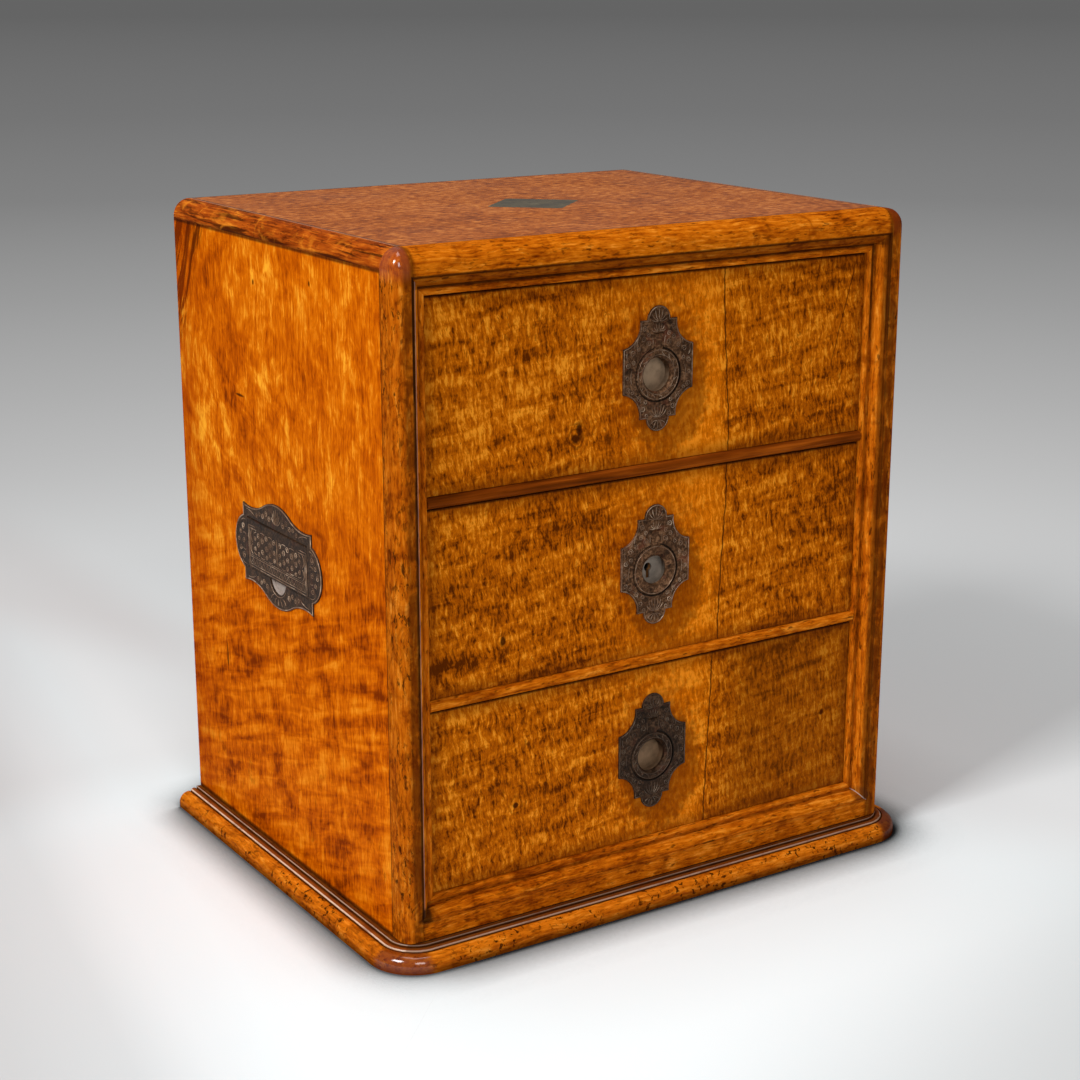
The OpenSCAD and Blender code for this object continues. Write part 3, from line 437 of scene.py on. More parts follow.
def drawer_material(name, seed, seam, shade, marks, dull=0.0, split=0.0):
    """Drawer front: vertical grain, a seam right of the pull, a warm stripe beside it."""
    tree = Tree(name)
    low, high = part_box(name)
    seam_top, seam_low = seam
    rise = tree.step(tree.z, low.z, high.z)
    wander = tree.noise((0.0, 0.0, 60), 4, 0.6)
    seam_x = tree.total(
        (seam_top + seam_low) / 2 * MM, (rise, (seam_top - seam_low) * MM), (wander, 4.5 * MM),
    )
    past = tree.minus(tree.x, seam_x)
    warm = tree.times(tree.step(tree.x, -0.045, 0.012), tree.step(past, 0.006, -0.012))
    tree.colour, height = figured(
        tree, "Z", DRAWER_STOPS, seed, tree.turned("Y", 7), stroke=1.5, ripple=0.42, reach=(16, 130),
        fleck=0.55, fibres=(520, 150), hook=3.6, cloudy=0.3, mottled=0.75,
        lift=tree.linear(warm, 0.14, -dull),
    )
    tree.stain(warm, 0.3, (250, 130, 4))
    # Darker right of the seam: another leaf of veneer, and on the lower drawer also painted shade towards
    # the lower right.
    tree.stain(tree.step(past, -0.003, 0.030), shade, (104, 52, 2))
    pull_grime_and_shadow(tree, (low.z + high.z) / 2)
    knots(tree, marks)
    if split:
        tree.stain(leaning_split(tree, high, wander, split), 0.7, (70, 26, 2))
    crack = tree.near(past, 0.0, 0.2 * MM, 0.45 * MM)
    tree.stain(crack, 0.85, (50, 20, 4))
    drawer_edges(tree, low, high)
    veneered(tree, tree.minus(tree.y, FACE_Y), "X", seed)
    return polished(tree, tree.minus(height, crack), 0.38, 0.06)


def top_material(name):
    """Top board: reddish veneer with short dashes along X."""
    tree = Tree(name)
    tree.colour, height = figured(
        tree, "X", TOP_STOPS, 4.0, stroke=2.0, ripple=0.2, reach=(40, 40), fleck=0.5,
        tint=(104, 46, 16), fibres=(250, 160), cloudy=0.3,
    )
    low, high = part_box(name)
    edge = tree.smaller(
        tree.minus(high.x, tree.size(tree.x)), tree.minus(high.y, tree.y), tree.minus(tree.y, low.y),
    )
    tree.stain(tree.step(edge, 0.0022, 0.0008), 0.75, (66, 44, 36))
    sheen = tree.noise(18, 3)
    return tree.surface(tree.total(0.36, (sheen, 0.2)), height, 0.05, **TOP_POLISH)


class FrontPlaces:
    """Where a point of the front lies: how far into the opening, and beside which jamb."""

    def __init__(self, tree):
        self.front = tree.step(tree.y, SIDE_FRONT_Y + 0.002, SIDE_FRONT_Y)
        self.across = tree.minus(OPEN_X, tree.size(tree.x))
        self.above = tree.minus(tree.z, OPEN_LOW_Z)
        self.under = tree.minus(OPEN_HIGH_Z, tree.z)
        upright = tree.smaller(self.above, self.under)
        self.inside = tree.smaller(self.across, upright)
        jamb = tree.math("LESS_THAN", self.across, upright)
        self.left = tree.times(jamb, tree.step(tree.x, 0.0, -0.01))
        self.right = tree.times(jamb, tree.step(tree.x, 0.0, 0.01))


def post_wear_and_shade(tree, at, grime, seed):
    """Painted shade mixed with grime along the inner edges of the corner posts, red blotches and dark
    specks on their rounds.
    """
    # Painted shade with grime: a dark band on the front of each post beside the opening, broken up by the
    # grime noise.
    post = tree.near(at.across, -2.2 * MM, 2.0 * MM, 2.6 * MM)
    post = tree.times(post, at.front, tree.step(grime, 0.30, 0.52))
    tree.stain(post, 0.75, (78, 36, 3))
    corner = tree.times(tree.step(at.across, -0.5 * MM, -2.0 * MM), at.front)
    tree.stain(corner, 0.2, (118, 36, 0))
    blotch = tree.step(tree.noise((130, 130, 70), 4, 0.65, 1.2, seed + 3.0), 0.52, 0.66)
    tree.stain(tree.times(blotch, corner), 0.6, (92, 32, 0))
    speck = tree.times(
        tree.step(tree.noise((400, 400, 170), 3, 0.65, 0.6, seed), 0.54, 0.64),
        tree.step(at.across, -3.0 * MM, -6.0 * MM),
        tree.step(tree.noise((30, 30, 24), 3), 0.40, 0.56),
    )
    tree.stain(speck, 0.85, (46, 18, 2))


def moulding_grime_and_shade(tree, at):
    """Painted shade and grime in the hollows of the mouldings, heavier above and at the left; a painted
    shadow just below the top rail; painted shade in the grooves beside the jambs, with a painted highlight
    line at the left.
    """
    upper = tree.step(tree.z, 0.30, 0.31)
    strength = tree.linear(at.left, 0.4, tree.linear(upper, 0.55, 0.35))
    # Painted shade and grime in the hollows, stronger in the top moulding, whose hollow faces down, and at
    # the left.
    hollow = tree.larger(
        tree.near(at.inside, 6.3 * MM, 0.4 * MM, 0.8 * MM),
        tree.near(at.inside, 0.0, 0.4 * MM, 0.7 * MM),
    )
    tree.stain(tree.times(hollow, at.front, strength), 0.9, (44, 20, 5))
    # Painted shadow just below the top rail.
    shadow = tree.times(
        tree.near(at.under, 3.2 * MM, 2.6 * MM, 0.8 * MM), tree.step(at.across, 0.0, 0.6 * MM), at.front,
    )
    tree.stain(shadow, 0.55, (72, 28, 2))
    # Painted shade in the grooves beside the jambs, and a painted highlight line beside the left one.
    for side, place, half, soft, amount, tint in (
        (at.left, 0.9, 0.5, 0.6, 0.9, (22, 13, 8)),
        (at.left, 2.1, 0.1, 0.35, 0.5, (148, 134, 128)),
        (at.right, 1.4, 1.0, 1.4, 0.6, (84, 38, 5)),
    ):
        line = tree.times(tree.near(at.across, place * MM, half * MM, soft * MM), side)
        tree.stain(line, amount, tint)


def lower_corners(tree, at):
    """A dark spot at the foot of the left post; a dark patch and a painted highlight along the mitred joint
    at the lower right.
    """
    tree.stain(tree.spot("XZ", (-152.5, 25.5), (5.0, 4.5), 0.4), 0.85, (30, 14, 6))
    dark_patch = tree.spot("XZ", (OPEN_X / MM - 3.5, OPEN_LOW_Z / MM + 3.5), (5.0, 4.5), 0.4)
    tree.stain(dark_patch, 0.5, (60, 30, 20))
    # Painted highlight along the mitred joint at the lower right.
    mitre_highlight = tree.times(
        tree.near(tree.minus(at.across, at.above), 0.0, 0.2 * MM, 0.4 * MM),
        tree.near(at.above, 3.2 * MM, 2.6 * MM, 0.8 * MM),
        tree.step(tree.x, 0.0, 0.01),
    )
    tree.stain(mitre_highlight, 0.6, (198, 184, 176))


def frame_material(name, along, seed):
    """Solid polished wood of posts, rails and mouldings, with shining ball corners on the posts."""
    tree = Tree(name)
    tree.colour, height = figured(
        tree, along, FRAME_STOPS, seed, stroke=1.2, ripple=0.2, reach=(60, 60), fleck=0.6, tint=(84, 32, 0),
    )
    dash = tree.noise(grain(along, 420, 130), 2, 0.6, 0.0, seed + 2.0)
    tree.stain(tree.step(dash, 0.60, 0.72), 0.75, (66, 24, 2))
    grime = tree.noise(60, 4, 0.65, 0.8, seed)
    tree.stain(tree.step(grime, 0.50, 0.70), 0.6, (108, 34, 0))
    at = FrontPlaces(tree)
    post_wear_and_shade(tree, at, grime, seed)
    moulding_grime_and_shade(tree, at)
    lower_corners(tree, at)
    ball = tree.times(tree.step(at.across, 0.0, -3.0 * MM), at.front, tree.step(tree.z, 0.362, 0.372))
    tree.stain(ball, 0.5, (160, 62, 12))
    tree.stain(tree.times(ball, tree.step(tree.x, -0.01, 0.01)), 0.6, (84, 30, 2))
    shine = tree.times(ball, tree.linear(tree.step(tree.x, 0.01, -0.01), 0.8, 0.15))
    polish = {**POLISH, "Coat Weight": tree.math("ADD", shine, 0.03)}
    return polished(tree, height, 0.34, polish=polish)


def edging_material(name):
    """Red-brown edging strips of the top, with dark streaks and a painted highlight on the edge along the
    board.
    """
    tree = Tree(name)
    tree.colour, height = figured(
        tree, "Y", EDGING_STOPS, 9.0, stroke=1.1, ripple=0.2, reach=(60, 40), fleck=0.6,
        tint=(70, 22, 0), fibres=(560, 45),
    )
    streak = tree.noise(grain("Y", 260, 14), 4, 0.6, 0.8, 9.0)
    tree.stain(tree.step(streak, 0.51, 0.63), 0.85, (50, 16, 0))
    gold = tree.noise((30, 60, 60), 3, 0.6, 0.8, 4.0)
    tree.stain(tree.step(gold, 0.54, 0.70), 0.5, (228, 134, 30))
    low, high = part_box("top_left_edging")
    # Painted highlight on the edge along the top board.
    arris_highlight = tree.near(tree.size(tree.x), -high.x, 0.7 * MM, 1.0 * MM)
    tree.stain(arris_highlight, 0.45, (176, 138, 112))
    foot = tree.step(tree.z, low.z + 2.0 * MM, low.z)
    tree.stain(foot, 0.6, (50, 18, 2))
    polish = {**POLISH, "Coat Weight": 0.12}
    return tree.surface(tree.total(0.32, (gold, 0.2)), height, 0.05, **polish)


PLINTH_CORNER = 13.0 * MM
PLINTH_REACH = 15.0 * MM
# Colours out from the case: a dark joint at the case, then painted shade on the face of the step and in the
# groove before the nose.
PLINTH_STOPS = ramp_stops(
    (0.0, 36, 15, 4),
    (0.05, 88, 40, 13),
    (0.19, 78, 35, 10),
    (0.21, 36, 15, 4),
    (0.26, 84, 38, 12),
    (0.36, 128, 62, 20),
    (0.44, 132, 66, 24),
    (0.465, 60, 24, 2),
    (0.525, 60, 24, 2),
    (0.57, 196, 102, 14),
    (0.75, 232, 130, 24),
    (0.98, 170, 82, 10),
)


def out_of_case(tree):
    """How far out of the case a point of the plinth lies, and its reach sideways and forwards."""
    over_x = tree.larger(tree.minus(tree.size(tree.x), abs(SIDE_X) - PLINTH_CORNER), 0.0)
    over_y = tree.larger(tree.minus(FRONT_Y + PLINTH_CORNER, tree.y), 0.0)
    squares = tree.math("ADD", tree.math("POWER", over_x, 2.0), tree.math("POWER", over_y, 2.0))
    return tree.minus(tree.math("SQRT", squares), PLINTH_CORNER), over_x, over_y


def plinth_wear_and_shade(tree, nose):
    """Pits in the nose, grime all over, and painted shade on the foot of the nose."""
    pit = tree.times(
        tree.step(tree.noise(330, 2, 0.6, 0.5, 2.0), 0.57, 0.65),
        tree.step(tree.noise(26, 3, 0.5, 0.0, 5.0), 0.36, 0.52),
        nose,
    )
    tree.stain(pit, 0.9, (44, 16, 2))
    grime = tree.step(tree.noise(55, 4, 0.65, 0.8, 6.0), 0.50, 0.72)
    tree.stain(grime, 0.5, (104, 40, 2))
    # Painted shade on the lower part of the nose, where it turns under.
    tree.stain(tree.step(tree.z, 5.0 * MM, 0.5 * MM), 0.6, (70, 28, 2))


def plinth_material(name):
    """Plinth: a step, a polished bead and a groove against the case, then a golden pitted nose, with
    painted shade in the step, in the groove and along the front, and painted highlight lines on the step's
    edge and the bead.
    """
    tree = Tree(name)
    out, over_x, over_y = out_of_case(tree)
    moulded = tree.ramp(tree.math("DIVIDE", out, PLINTH_REACH), *PLINTH_STOPS)
    look = {"stroke": 1.6, "ripple": 0.3, "reach": (60, 60), "fleck": 0.8, "tint": (66, 24, 0)}
    lengthways, height = figured(tree, "X", FRAME_STOPS, 12.0, **look)
    sideways, _ = figured(tree, "Y", FRAME_STOPS, 15.0, **look)
    flank = tree.step(tree.minus(over_x, over_y), -1.0 * MM, 1.0 * MM)
    wood = tree.mix(flank, lengthways, sideways)
    nose = tree.step(out, 7.4 * MM, 8.4 * MM)
    tree.colour = tree.mix(tree.linear(nose, 0.55, 0.12), moulded, wood)
    # Painted shade: the front of the step and bead darker than the flanks.
    front = tree.minus(1.0, tree.larger(flank, nose))
    tree.stain(front, 0.45, (44, 24, 10))
    # Painted highlight lines on the step's edge and on the bead, brighter on the flanks.
    arris_highlight = tree.near(out, 2.9 * MM, 0.25 * MM, 0.15 * MM)
    arris_highlight = tree.times(arris_highlight, tree.step(tree.z, 10.8 * MM, 11.1 * MM), 0.7)
    glint = tree.larger(arris_highlight, tree.near(out, 6.5 * MM, 0.15 * MM, 0.25 * MM))
    glint = tree.times(glint, tree.linear(flank, 0.5, 0.35))
    tree.stain(glint, 1.0, (228, 198, 172))
    plinth_wear_and_shade(tree, nose)
    corner = tree.times(tree.step(tree.smaller(over_x, over_y), 2.0 * MM, 8.0 * MM), nose)
    tree.stain(corner, 0.7, (106, 38, 12))
    left = tree.step(tree.x, 0.01, -0.01)
    tree.stain(tree.times(corner, tree.minus(1.0, left)), 0.6, (64, 20, 4))
    bead = tree.near(out, 4.8 * MM, 2.0 * MM, 0.4 * MM)
    shine = tree.times(corner, tree.linear(left, 0.65, 0.25))
    coat = tree.larger(tree.math("ADD", shine, 0.06), tree.times(bead, 0.15))
    return tree.surface(0.36, height, 0.05, **{**POLISH, "Coat Weight": coat})


def bead_material(name):
    """The dark red bead between the upper and middle drawers."""
    tree = Tree(name)
    streak = tree.noise(grain("X", 420, 16), 4, 0.6, 0.3)
    patch = tree.noise(grain("X", 60, 18), 3)
    tone = tree.total(0.5, (streak, 0.9), (patch, 0.8))
    tree.colour = tree.tones(tone, (66, 26, 2), (124, 56, 8), (180, 92, 20))
    return tree.surface(tree.total(0.34, (patch, 0.2)), streak, 0.05, **POLISH)


# Metals


def bronze_material(name, shade, floor=None, gap=None):
    """Dark patinated fitting; floor gives a mask and a colour for the paler ground behind the plate, and
    the gap mask paints shade round the ring.
    """
    tree = Tree(name)
    patch = tree.noise(90, 4, 0.6)
    fine = tree.noise(700, 3, 0.65)
    chased = tree.noise(330, 2, 0.6, 1.5)
    tone = tree.total(0.5, (patch, 0.7), (fine, 0.8), (chased, 1.1))
    tints = ((36, 23, 13), (78, 52, 33), (132, 96, 68))
    tree.colour = tree.tones(tone, *(shaded(tint, shade) for tint in tints))
    copper = tree.step(tree.noise(120, 3, 0.6, 0.8, 4.0), 0.54, 0.68)
    tree.stain(copper, 0.4, shaded((112, 56, 38), shade))
    if floor:
        mask, tint = floor
        ground = tree.mix(tree.step(patch, 0.35, 0.7), srgb(*tint), srgb(*shaded(tint, 0.75)))
        tree.colour = tree.mix(mask(tree), tree.colour, ground)
    if gap:
        # Painted shade in the gap round the ring.
        tree.stain(gap(tree), 0.85, (14, 9, 5))
    height = tree.total(0.5, (fine, 0.3), (chased, 0.8))
    polish = {"Metallic": 0.15, "Specular IOR Level": 0.08}
    return tree.surface(tree.total(0.40, (patch, 0.35)), height, 0.16, **polish)


def behind_pull(drawer):
    """Mask of the pale disc on the dished ground behind the plate of one drawer; set off centre, it leaves
    a crescent of the rim dark as painted shade.
    """
    centre = middle(drawer + "_pull_plate")

    def mask(tree):
        deep = tree.step(tree.y, PLATE_Y + 3.5 * MM, PLATE_Y + 3.7 * MM)
        # Set off centre, so a crescent of the rim keeps the dark bronze as painted shade in the dish.
        away = tree.away("XZ", (centre.x / MM + 0.5, centre.z / MM - RING_DROP - 0.9), (1.0, 1.0))
        return tree.times(deep, tree.step(away, 9.8, 9.0))

    return mask


def ring_gap_shade(drawer):
    """Mask of the painted shade in the gap round the ring of one drawer."""
    centre = middle(drawer + "_pull_plate")
    return lambda tree: tree.near(
        tree.away("XZ", (centre.x / MM, centre.z / MM - RING_DROP), (1.0, 1.0)), 14.6, 0.35, 0.4,
    )


def in_notch(tree):
    """1 in the thumb notch below the flap of a handle."""
    low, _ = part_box("left_handle_flap")
    deep = tree.step(tree.size(tree.x), abs(HANDLE_X) - 0.8 * MM, abs(HANDLE_X) - 1.0 * MM)
    return tree.times(deep, tree.step(tree.z, low.z + 1.7 * MM, low.z + 1.5 * MM))


def worn_material(name, shade):
    """Raised lines of the engraving, rubbed brighter than their ground."""
    tree = Tree(name)
    patch = tree.noise(160, 4, 0.65)
    tints = ((0.30, (80, 58, 44)), (0.52, (134, 106, 84)), (0.72, (202, 178, 152)))
    tree.colour = tree.ramp(patch, *((place, srgb(*shaded(tint, shade))) for place, tint in tints))
    polish = {"Metallic": 0.4, "Specular IOR Level": 0.2}
    return tree.surface(tree.total(0.36, (patch, 0.3)), patch, 0.02, **polish)


def steel_material(name):
    tree = Tree(name)
    brushed = tree.noise((40, 900, 900), 3)
    patch = tree.noise(120, 3)
    tone = tree.total(0.5, (brushed, 0.6), (patch, 0.6))
    tree.colour = tree.tones(tone, (70, 66, 62), (122, 118, 112), (164, 160, 154))
    return tree.surface(tree.total(0.38, (patch, 0.3)), brushed, 0.02, Metallic=0.9)


def plaque_material(name):
    tree = Tree(name)
    patch = tree.noise(70, 4, 0.6)
    fine = tree.noise((700, 160, 160), 3)
    tone = tree.total(0.5, (patch, 0.8), (fine, 0.5))
    tree.colour = tree.tones(tone, (72, 62, 46), (108, 96, 74), (140, 128, 102))
    return tree.surface(tree.total(0.40, (patch, 0.3)), fine, 0.02, Metallic=0.6)


def dress(material, *names):
    for name in names:
        NODES[name].data.materials.clear()
        NODES[name].data.materials.append(material)


def dress_case():
    dress(side_material("left_side_board", SIDE_X), "left_side_board")
    dress(side_material("right_side_board", -SIDE_X), "right_side_board")
    dress(top_material("top_board"), "top_board")
    dress(
        frame_material("upright_wood", "Z", 1.0),
        "left_corner_post", "right_corner_post", "left_frame_moulding", "right_frame_moulding",
    )
    dress(
        frame_material("level_wood", "X", 6.0),
        "top_front_rail", "bottom_front_rail", "top_frame_moulding", "bottom_frame_moulding",
        "lower_divider",
    )
    dress(edging_material("edging_wood"), "top_left_edging", "top_right_edging")
    dress(plinth_material("plinth_wood"), "base_plinth")
    dress(bead_material("dark_bead"), "upper_divider")
    dress(
        inner_material("inner_wood_x", "X"),
        "bottom_board", "upper_dustboard", "lower_dustboard", "drawer_stops",
    )
    dress(inner_material("inner_wood_y", "Y"), "drawer_guides", "drawer_runners", "drawer_kickers")
    dress(inner_material("inner_wood_z", "Z"), "back_panel")
    dress(plaque_material("plaque_brass"), "top_plaque")


def dress_drawers():
    along_x = inner_material("drawer_wood_x", "X")
    along_y = inner_material("drawer_wood_y", "Y")
    for drawer, look in DRAWER_LOOKS.items():
        front = drawer + "_drawer_front"
        dress(drawer_material(front, **look), front)
        dress(along_x, drawer + "_drawer_back", drawer + "_drawer_bottom")
        dress(along_y, drawer + "_drawer_left_side", drawer + "_drawer_right_side")


PULL_SHADES = {"upper": 0.98, "middle": 1.06, "lower": 0.64}
DISC_TINTS = {"upper": (168, 140, 112), "middle": (188, 172, 156), "lower": (144, 114, 86)}


def dress_fittings():
    handle = bronze_material("handle_bronze", 0.68, (in_notch, (220, 202, 190)))
    flap = bronze_material("flap_bronze", 0.68)
    steel = steel_material("lock_steel")
    for drawer in DRAWERS:
        shade = PULL_SHADES[drawer]
        disc = (behind_pull(drawer), DISC_TINTS[drawer])
        bronze = bronze_material(drawer + "_plate_bronze", shade, disc, ring_gap_shade(drawer))
        dress(bronze, drawer + "_pull_plate")
        dress(bronze_material(drawer + "_ring_bronze", shade), drawer + "_pull_ring")
        dress(steel, drawer + "_pull_pin")
    for side in ("left", "right"):
        dress(handle, side + "_handle_plate")
        dress(flap, side + "_handle_flap")
        dress(steel, side + "_handle_pin")
    dress(steel, "lock_case", "lock_cap", "lock_bolt", "lock_key_post")


# Engraving, as raised lines drawn in millimetres right of and above a plate's middle

RIDGE_SECTION = ((-1.0, -0.3), (-0.55, 0.75), (0.0, 1.0), (0.55, 0.75), (1.0, -0.3))
PULL_W = 46.0
PULL_H = 68.4
PULL_SHOULDER_H = 53.6
PULL_LOBE_R = 7.4
PULL_CUT = (24.75, 25.05)
PULL_CUT_R = 12.85
RING_DROP = 3.2
HANDLE_L = 109.4
HANDLE_POINT_L = 86.4
HANDLE_ARCH_H = 60.6
HANDLE_ARCH_R = 35.7
HANDLE_WAIST = (34.0, 61.4)
HANDLE_WAIST_R = 39.3
HANDLE_LOBE_R = 16.88
NOTCH_Z = -11.39
NOTCH_R = 10.51
BROAD_W = 0.6
BROAD_H = 0.25
FINE_W = 0.45
FINE_H = 0.2


def curl(centre, radius, start, sweep, end=0.22, count=18):
    """Points of a scroll that winds in towards its centre; angles in degrees."""
    points = []
    for step in range(count):
        share = step / (count - 1)
        angle = math.radians(start + sweep * share)
        reach = radius * (1 + (end - 1) * share)
        points.append((centre[0] + reach * math.cos(angle), centre[1] + reach * math.sin(angle)))
    return points


def arc(centre, radius, start, sweep, count=18):
    return curl(centre, radius, start, sweep, 1.0, count)


def leaf(start, end, rise, count=8):
    """Points of a bow from start to end, which swells to the left of its run by rise."""
    run, lift = end[0] - start[0], end[1] - start[1]
    length = math.hypot(run, lift)
    points = []
    for step in range(count):
        share = step / (count - 1)
        swell = 4 * share * (1 - share) * rise / length
        points.append((start[0] + run * share - lift * swell, start[1] + lift * share + run * swell))
    return points


def whole_loop(quarter):
    """A closed loop from its upper right quarter, which runs from the right up to the middle."""
    upper = quarter + [(-a, b) for a, b in reversed(quarter[:-1])]
    return upper + [(a, -b) for a, b in reversed(upper[1:-1])]


def bearing(centre, point):
    return math.degrees(math.atan2(point[1] - centre[1], point[0] - centre[0]))


def arc_between(centre, radius, first, last, count):
    start = bearing(centre, first)
    sweep = (bearing(centre, last) - start + 180) % 360 - 180
    return arc(centre, radius, start, sweep, count)


def pull_loop(inset):
    """The outline of a pull plate, drawn in by an inset."""
    side = PULL_W / 2 - inset
    cut = PULL_CUT_R + inset
    top = PULL_SHOULDER_H / 2 - inset
    lobe = PULL_LOBE_R - inset
    lobe_centre = (0.0, PULL_H / 2 - PULL_LOBE_R)
    low = (side, PULL_CUT[1] - math.sqrt(cut ** 2 - (PULL_CUT[0] - side) ** 2))
    high = (PULL_CUT[0] - math.sqrt(cut ** 2 - (PULL_CUT[1] - top) ** 2), top)
    foot = (math.sqrt(lobe ** 2 - (lobe_centre[1] - top) ** 2), top)
    quarter = [(side, 0.0)] + arc_between(PULL_CUT, cut, low, high, 10)
    return whole_loop(quarter + arc_between(lobe_centre, lobe, foot, (0.0, PULL_H / 2), 9))


def handle_loop(inset):
    """The outline of a handle plate, drawn in by an inset."""
    lobe_centre = (HANDLE_L / 2 - HANDLE_LOBE_R, 0.0)
    lobe = HANDLE_LOBE_R - inset
    end = HANDLE_POINT_L / 2 - inset
    waist = HANDLE_WAIST_R + inset
    arch_centre = (0.0, HANDLE_ARCH_H / 2 - HANDLE_ARCH_R)
    arch = HANDLE_ARCH_R - inset
    foot = (end, math.sqrt(lobe ** 2 - (end - lobe_centre[0]) ** 2))
    tip = (end, HANDLE_WAIST[1] - math.sqrt(waist ** 2 - (HANDLE_WAIST[0] - end) ** 2))
    across = Vector(HANDLE_WAIST) - Vector(arch_centre)
    turn = Vector(arch_centre) + across * arch / (arch + waist)
    quarter = arc_between(lobe_centre, lobe, (HANDLE_L / 2, 0.0), foot, 10)
    quarter += arc_between(HANDLE_WAIST, waist, tip, turn, 12)
    return whole_loop(quarter + arc_between(arch_centre, arch, turn, (0.0, 1.0), 8)[1:])


class Relief:
    """The raised lines on one fitting; place turns right, up and out into a point of the scene."""

    def __init__(self, place):
        self.mesh = bmesh.new()
        self.place = place

    def line(self, path, width=BROAD_W, height=BROAD_H, closed=False):
        count = len(path)
        rings = []
        for i, (a, b) in enumerate(path):
            before = path[i - 1] if closed or i else path[i]
            after = path[(i + 1) % count] if closed or i + 1 < count else path[i]
            run, lift = after[0] - before[0], after[1] - before[1]
            length = math.hypot(run, lift)
            taper = 1.0 if closed else min(1.0, 0.4 + 2.4 * min(i, count - 1 - i) / (count - 1))
            half = width / 2 * taper / length
            ring = []
            for side, rise in RIDGE_SECTION:
                corner = self.place(a - lift * side * half, b + run * side * half, rise * height * taper)
                ring.append(self.mesh.verts.new(corner))
            rings.append(ring)
        pairs = list(zip(rings, rings[1:]))
        if closed:
            pairs.append((rings[-1], rings[0]))
        for ring, other in pairs:
            for corner in range(len(RIDGE_SECTION)):
                self.mesh.faces.new((ring[corner - 1], ring[corner], other[corner], other[corner - 1]))
        if not closed:
            self.mesh.faces.new(rings[0])
            self.mesh.faces.new(rings[-1][::-1])

    def both(self, path, width=BROAD_W, height=BROAD_H):
        """Draws a line and its mirror image."""
        self.line(path, width, height)
        self.line([(-a, b) for a, b in path], width, height)

    def scrolls(self, *rows):
        """Fine scrolls and their mirror images, each from a centre, radius, start and sweep."""
        for row in rows:
            self.both(curl(*row), FINE_W, FINE_H)

    def leaves(self, *rows):
        """Fine bows and their mirror images, each from a start, end and rise."""
        for row in rows:
            self.both(leaf(*row), FINE_W, FINE_H)

    def palmette(self, foot, top, root, tips, width=FINE_W, height=FINE_H):
        """A fine upright stem from foot to top, with leaves that spread from a root on both its sides."""
        self.line(leaf((0.0, foot), (0.0, top), 0.0), FINE_W, FINE_H)
        for tip, rise in tips:
            self.both(leaf(root, tip, rise), width, height)

    def finish(self, name, body, material):
        add_piece(name, self.mesh, body, material)


def add_piece(name, shape, body, material):
    bmesh.ops.recalc_face_normals(shape, faces=shape.faces)
    mesh = bpy.data.meshes.new(name)
    shape.to_mesh(mesh)
    shape.free()
    mesh.materials.append(material)
    piece = bpy.data.objects.new(name, mesh)
    bpy.context.scene.collection.objects.link(piece)
    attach(piece, body)


def draw_pull(relief):
    """Rim line, palmettes above and below the ring, scrolls on the shoulders and flanks."""
    relief.line(pull_loop(0.5), 0.5, 0.25, closed=True)
    relief.palmette(
        20.4, 24.8, (0.5, 20.4),
        (((1.8, 24.4), -0.4), ((3.4, 23.0), -0.5), ((4.4, 21.0), -0.3)),
    )
    relief.palmette(
        26.4, 32.6, (0.3, 25.8),
        (((2.4, 31.6), -0.5), ((4.4, 29.6), -0.6), ((5.2, 27.0), -0.5)),
    )
    relief.palmette(-28.2, -32.8, (0.3, -28.2), (((2.6, -32.2), 0.5), ((4.8, -30.2), 0.6)))
    relief.palmette(
        -26.4, -19.4, (0.3, -26.4),
        (((2.0, -19.6), -0.6), ((4.0, -20.6), -0.9), ((5.4, -22.8), -1.0)), BROAD_W, BROAD_H,
    )
    relief.scrolls(
        ((20.0, 3.4), 1.7, 100, 560),
        ((16.6, 4.8), 1.4, 280, -520),
        ((20.0, -9.8), 1.7, -100, -560),
        ((17.0, -11.4), 1.3, 60, 520),
        ((16.9, 9.6), 1.8, 200, -520),
        ((13.2, 11.8), 1.5, 30, 520),
        ((6.4, 14.2), 1.8, -60, 540),
        ((9.8, 16.6), 1.5, 150, -520),
        ((6.8, 18.8), 1.4, 20, 500),
        ((9.4, 22.2), 1.7, 200, -540),
        ((9.9, -21.0), 1.8, 60, -540),
        ((7.4, -25.0), 1.4, 200, 520),
        ((8.4, -17.6), 1.4, -30, 520),
        ((12.8, -15.4), 1.6, 40, 520),
        ((20.2, -3.2), 1.4, 180, 540),
    )
    relief.leaves(
        ((17.4, 0.8), (17.6, -6.8), 0.6),
        ((14.4, 13.8), (11.8, 19.6), -0.7),
        ((16.2, 12.4), (12.8, 18.4), -0.7),
        ((19.9, 6.2), (20.6, 10.2), -0.6),
        ((4.0, 13.0), (4.4, 17.6), 0.4),
        ((11.4, -17.8), (15.4, -12.8), 0.7),
        ((18.4, -13.2), (21.2, -12.6), 0.5),
        ((11.6, 22.8), (11.9, 25.2), 0.3),
    )


def draw_ring(relief):
    """Two circles and a wreath of bent leaves between them, left open at the stem."""
    centre = (0.0, -RING_DROP)
    relief.line(arc(centre, 13.4, 0, 354, 60), 0.4, 0.14, closed=True)
    relief.line(arc(centre, 10.8, 0, 354, 60), 0.35, 0.12, closed=True)
    for step in range(1, 16):
        angle = math.radians(90 + 360 / 16 * step)
        lean = angle + 0.22
        start = (centre[0] + 11.2 * math.cos(angle), centre[1] + 11.2 * math.sin(angle))
        end = (centre[0] + 13.0 * math.cos(lean), centre[1] + 13.0 * math.sin(lean))
        relief.line(leaf(start, end, 0.5, 6), 0.45, 0.16)


def draw_plain_ring(relief):
    relief.line(arc((0.0, -RING_DROP), 13.5, 0, 354, 60), 0.4, 0.14, closed=True)


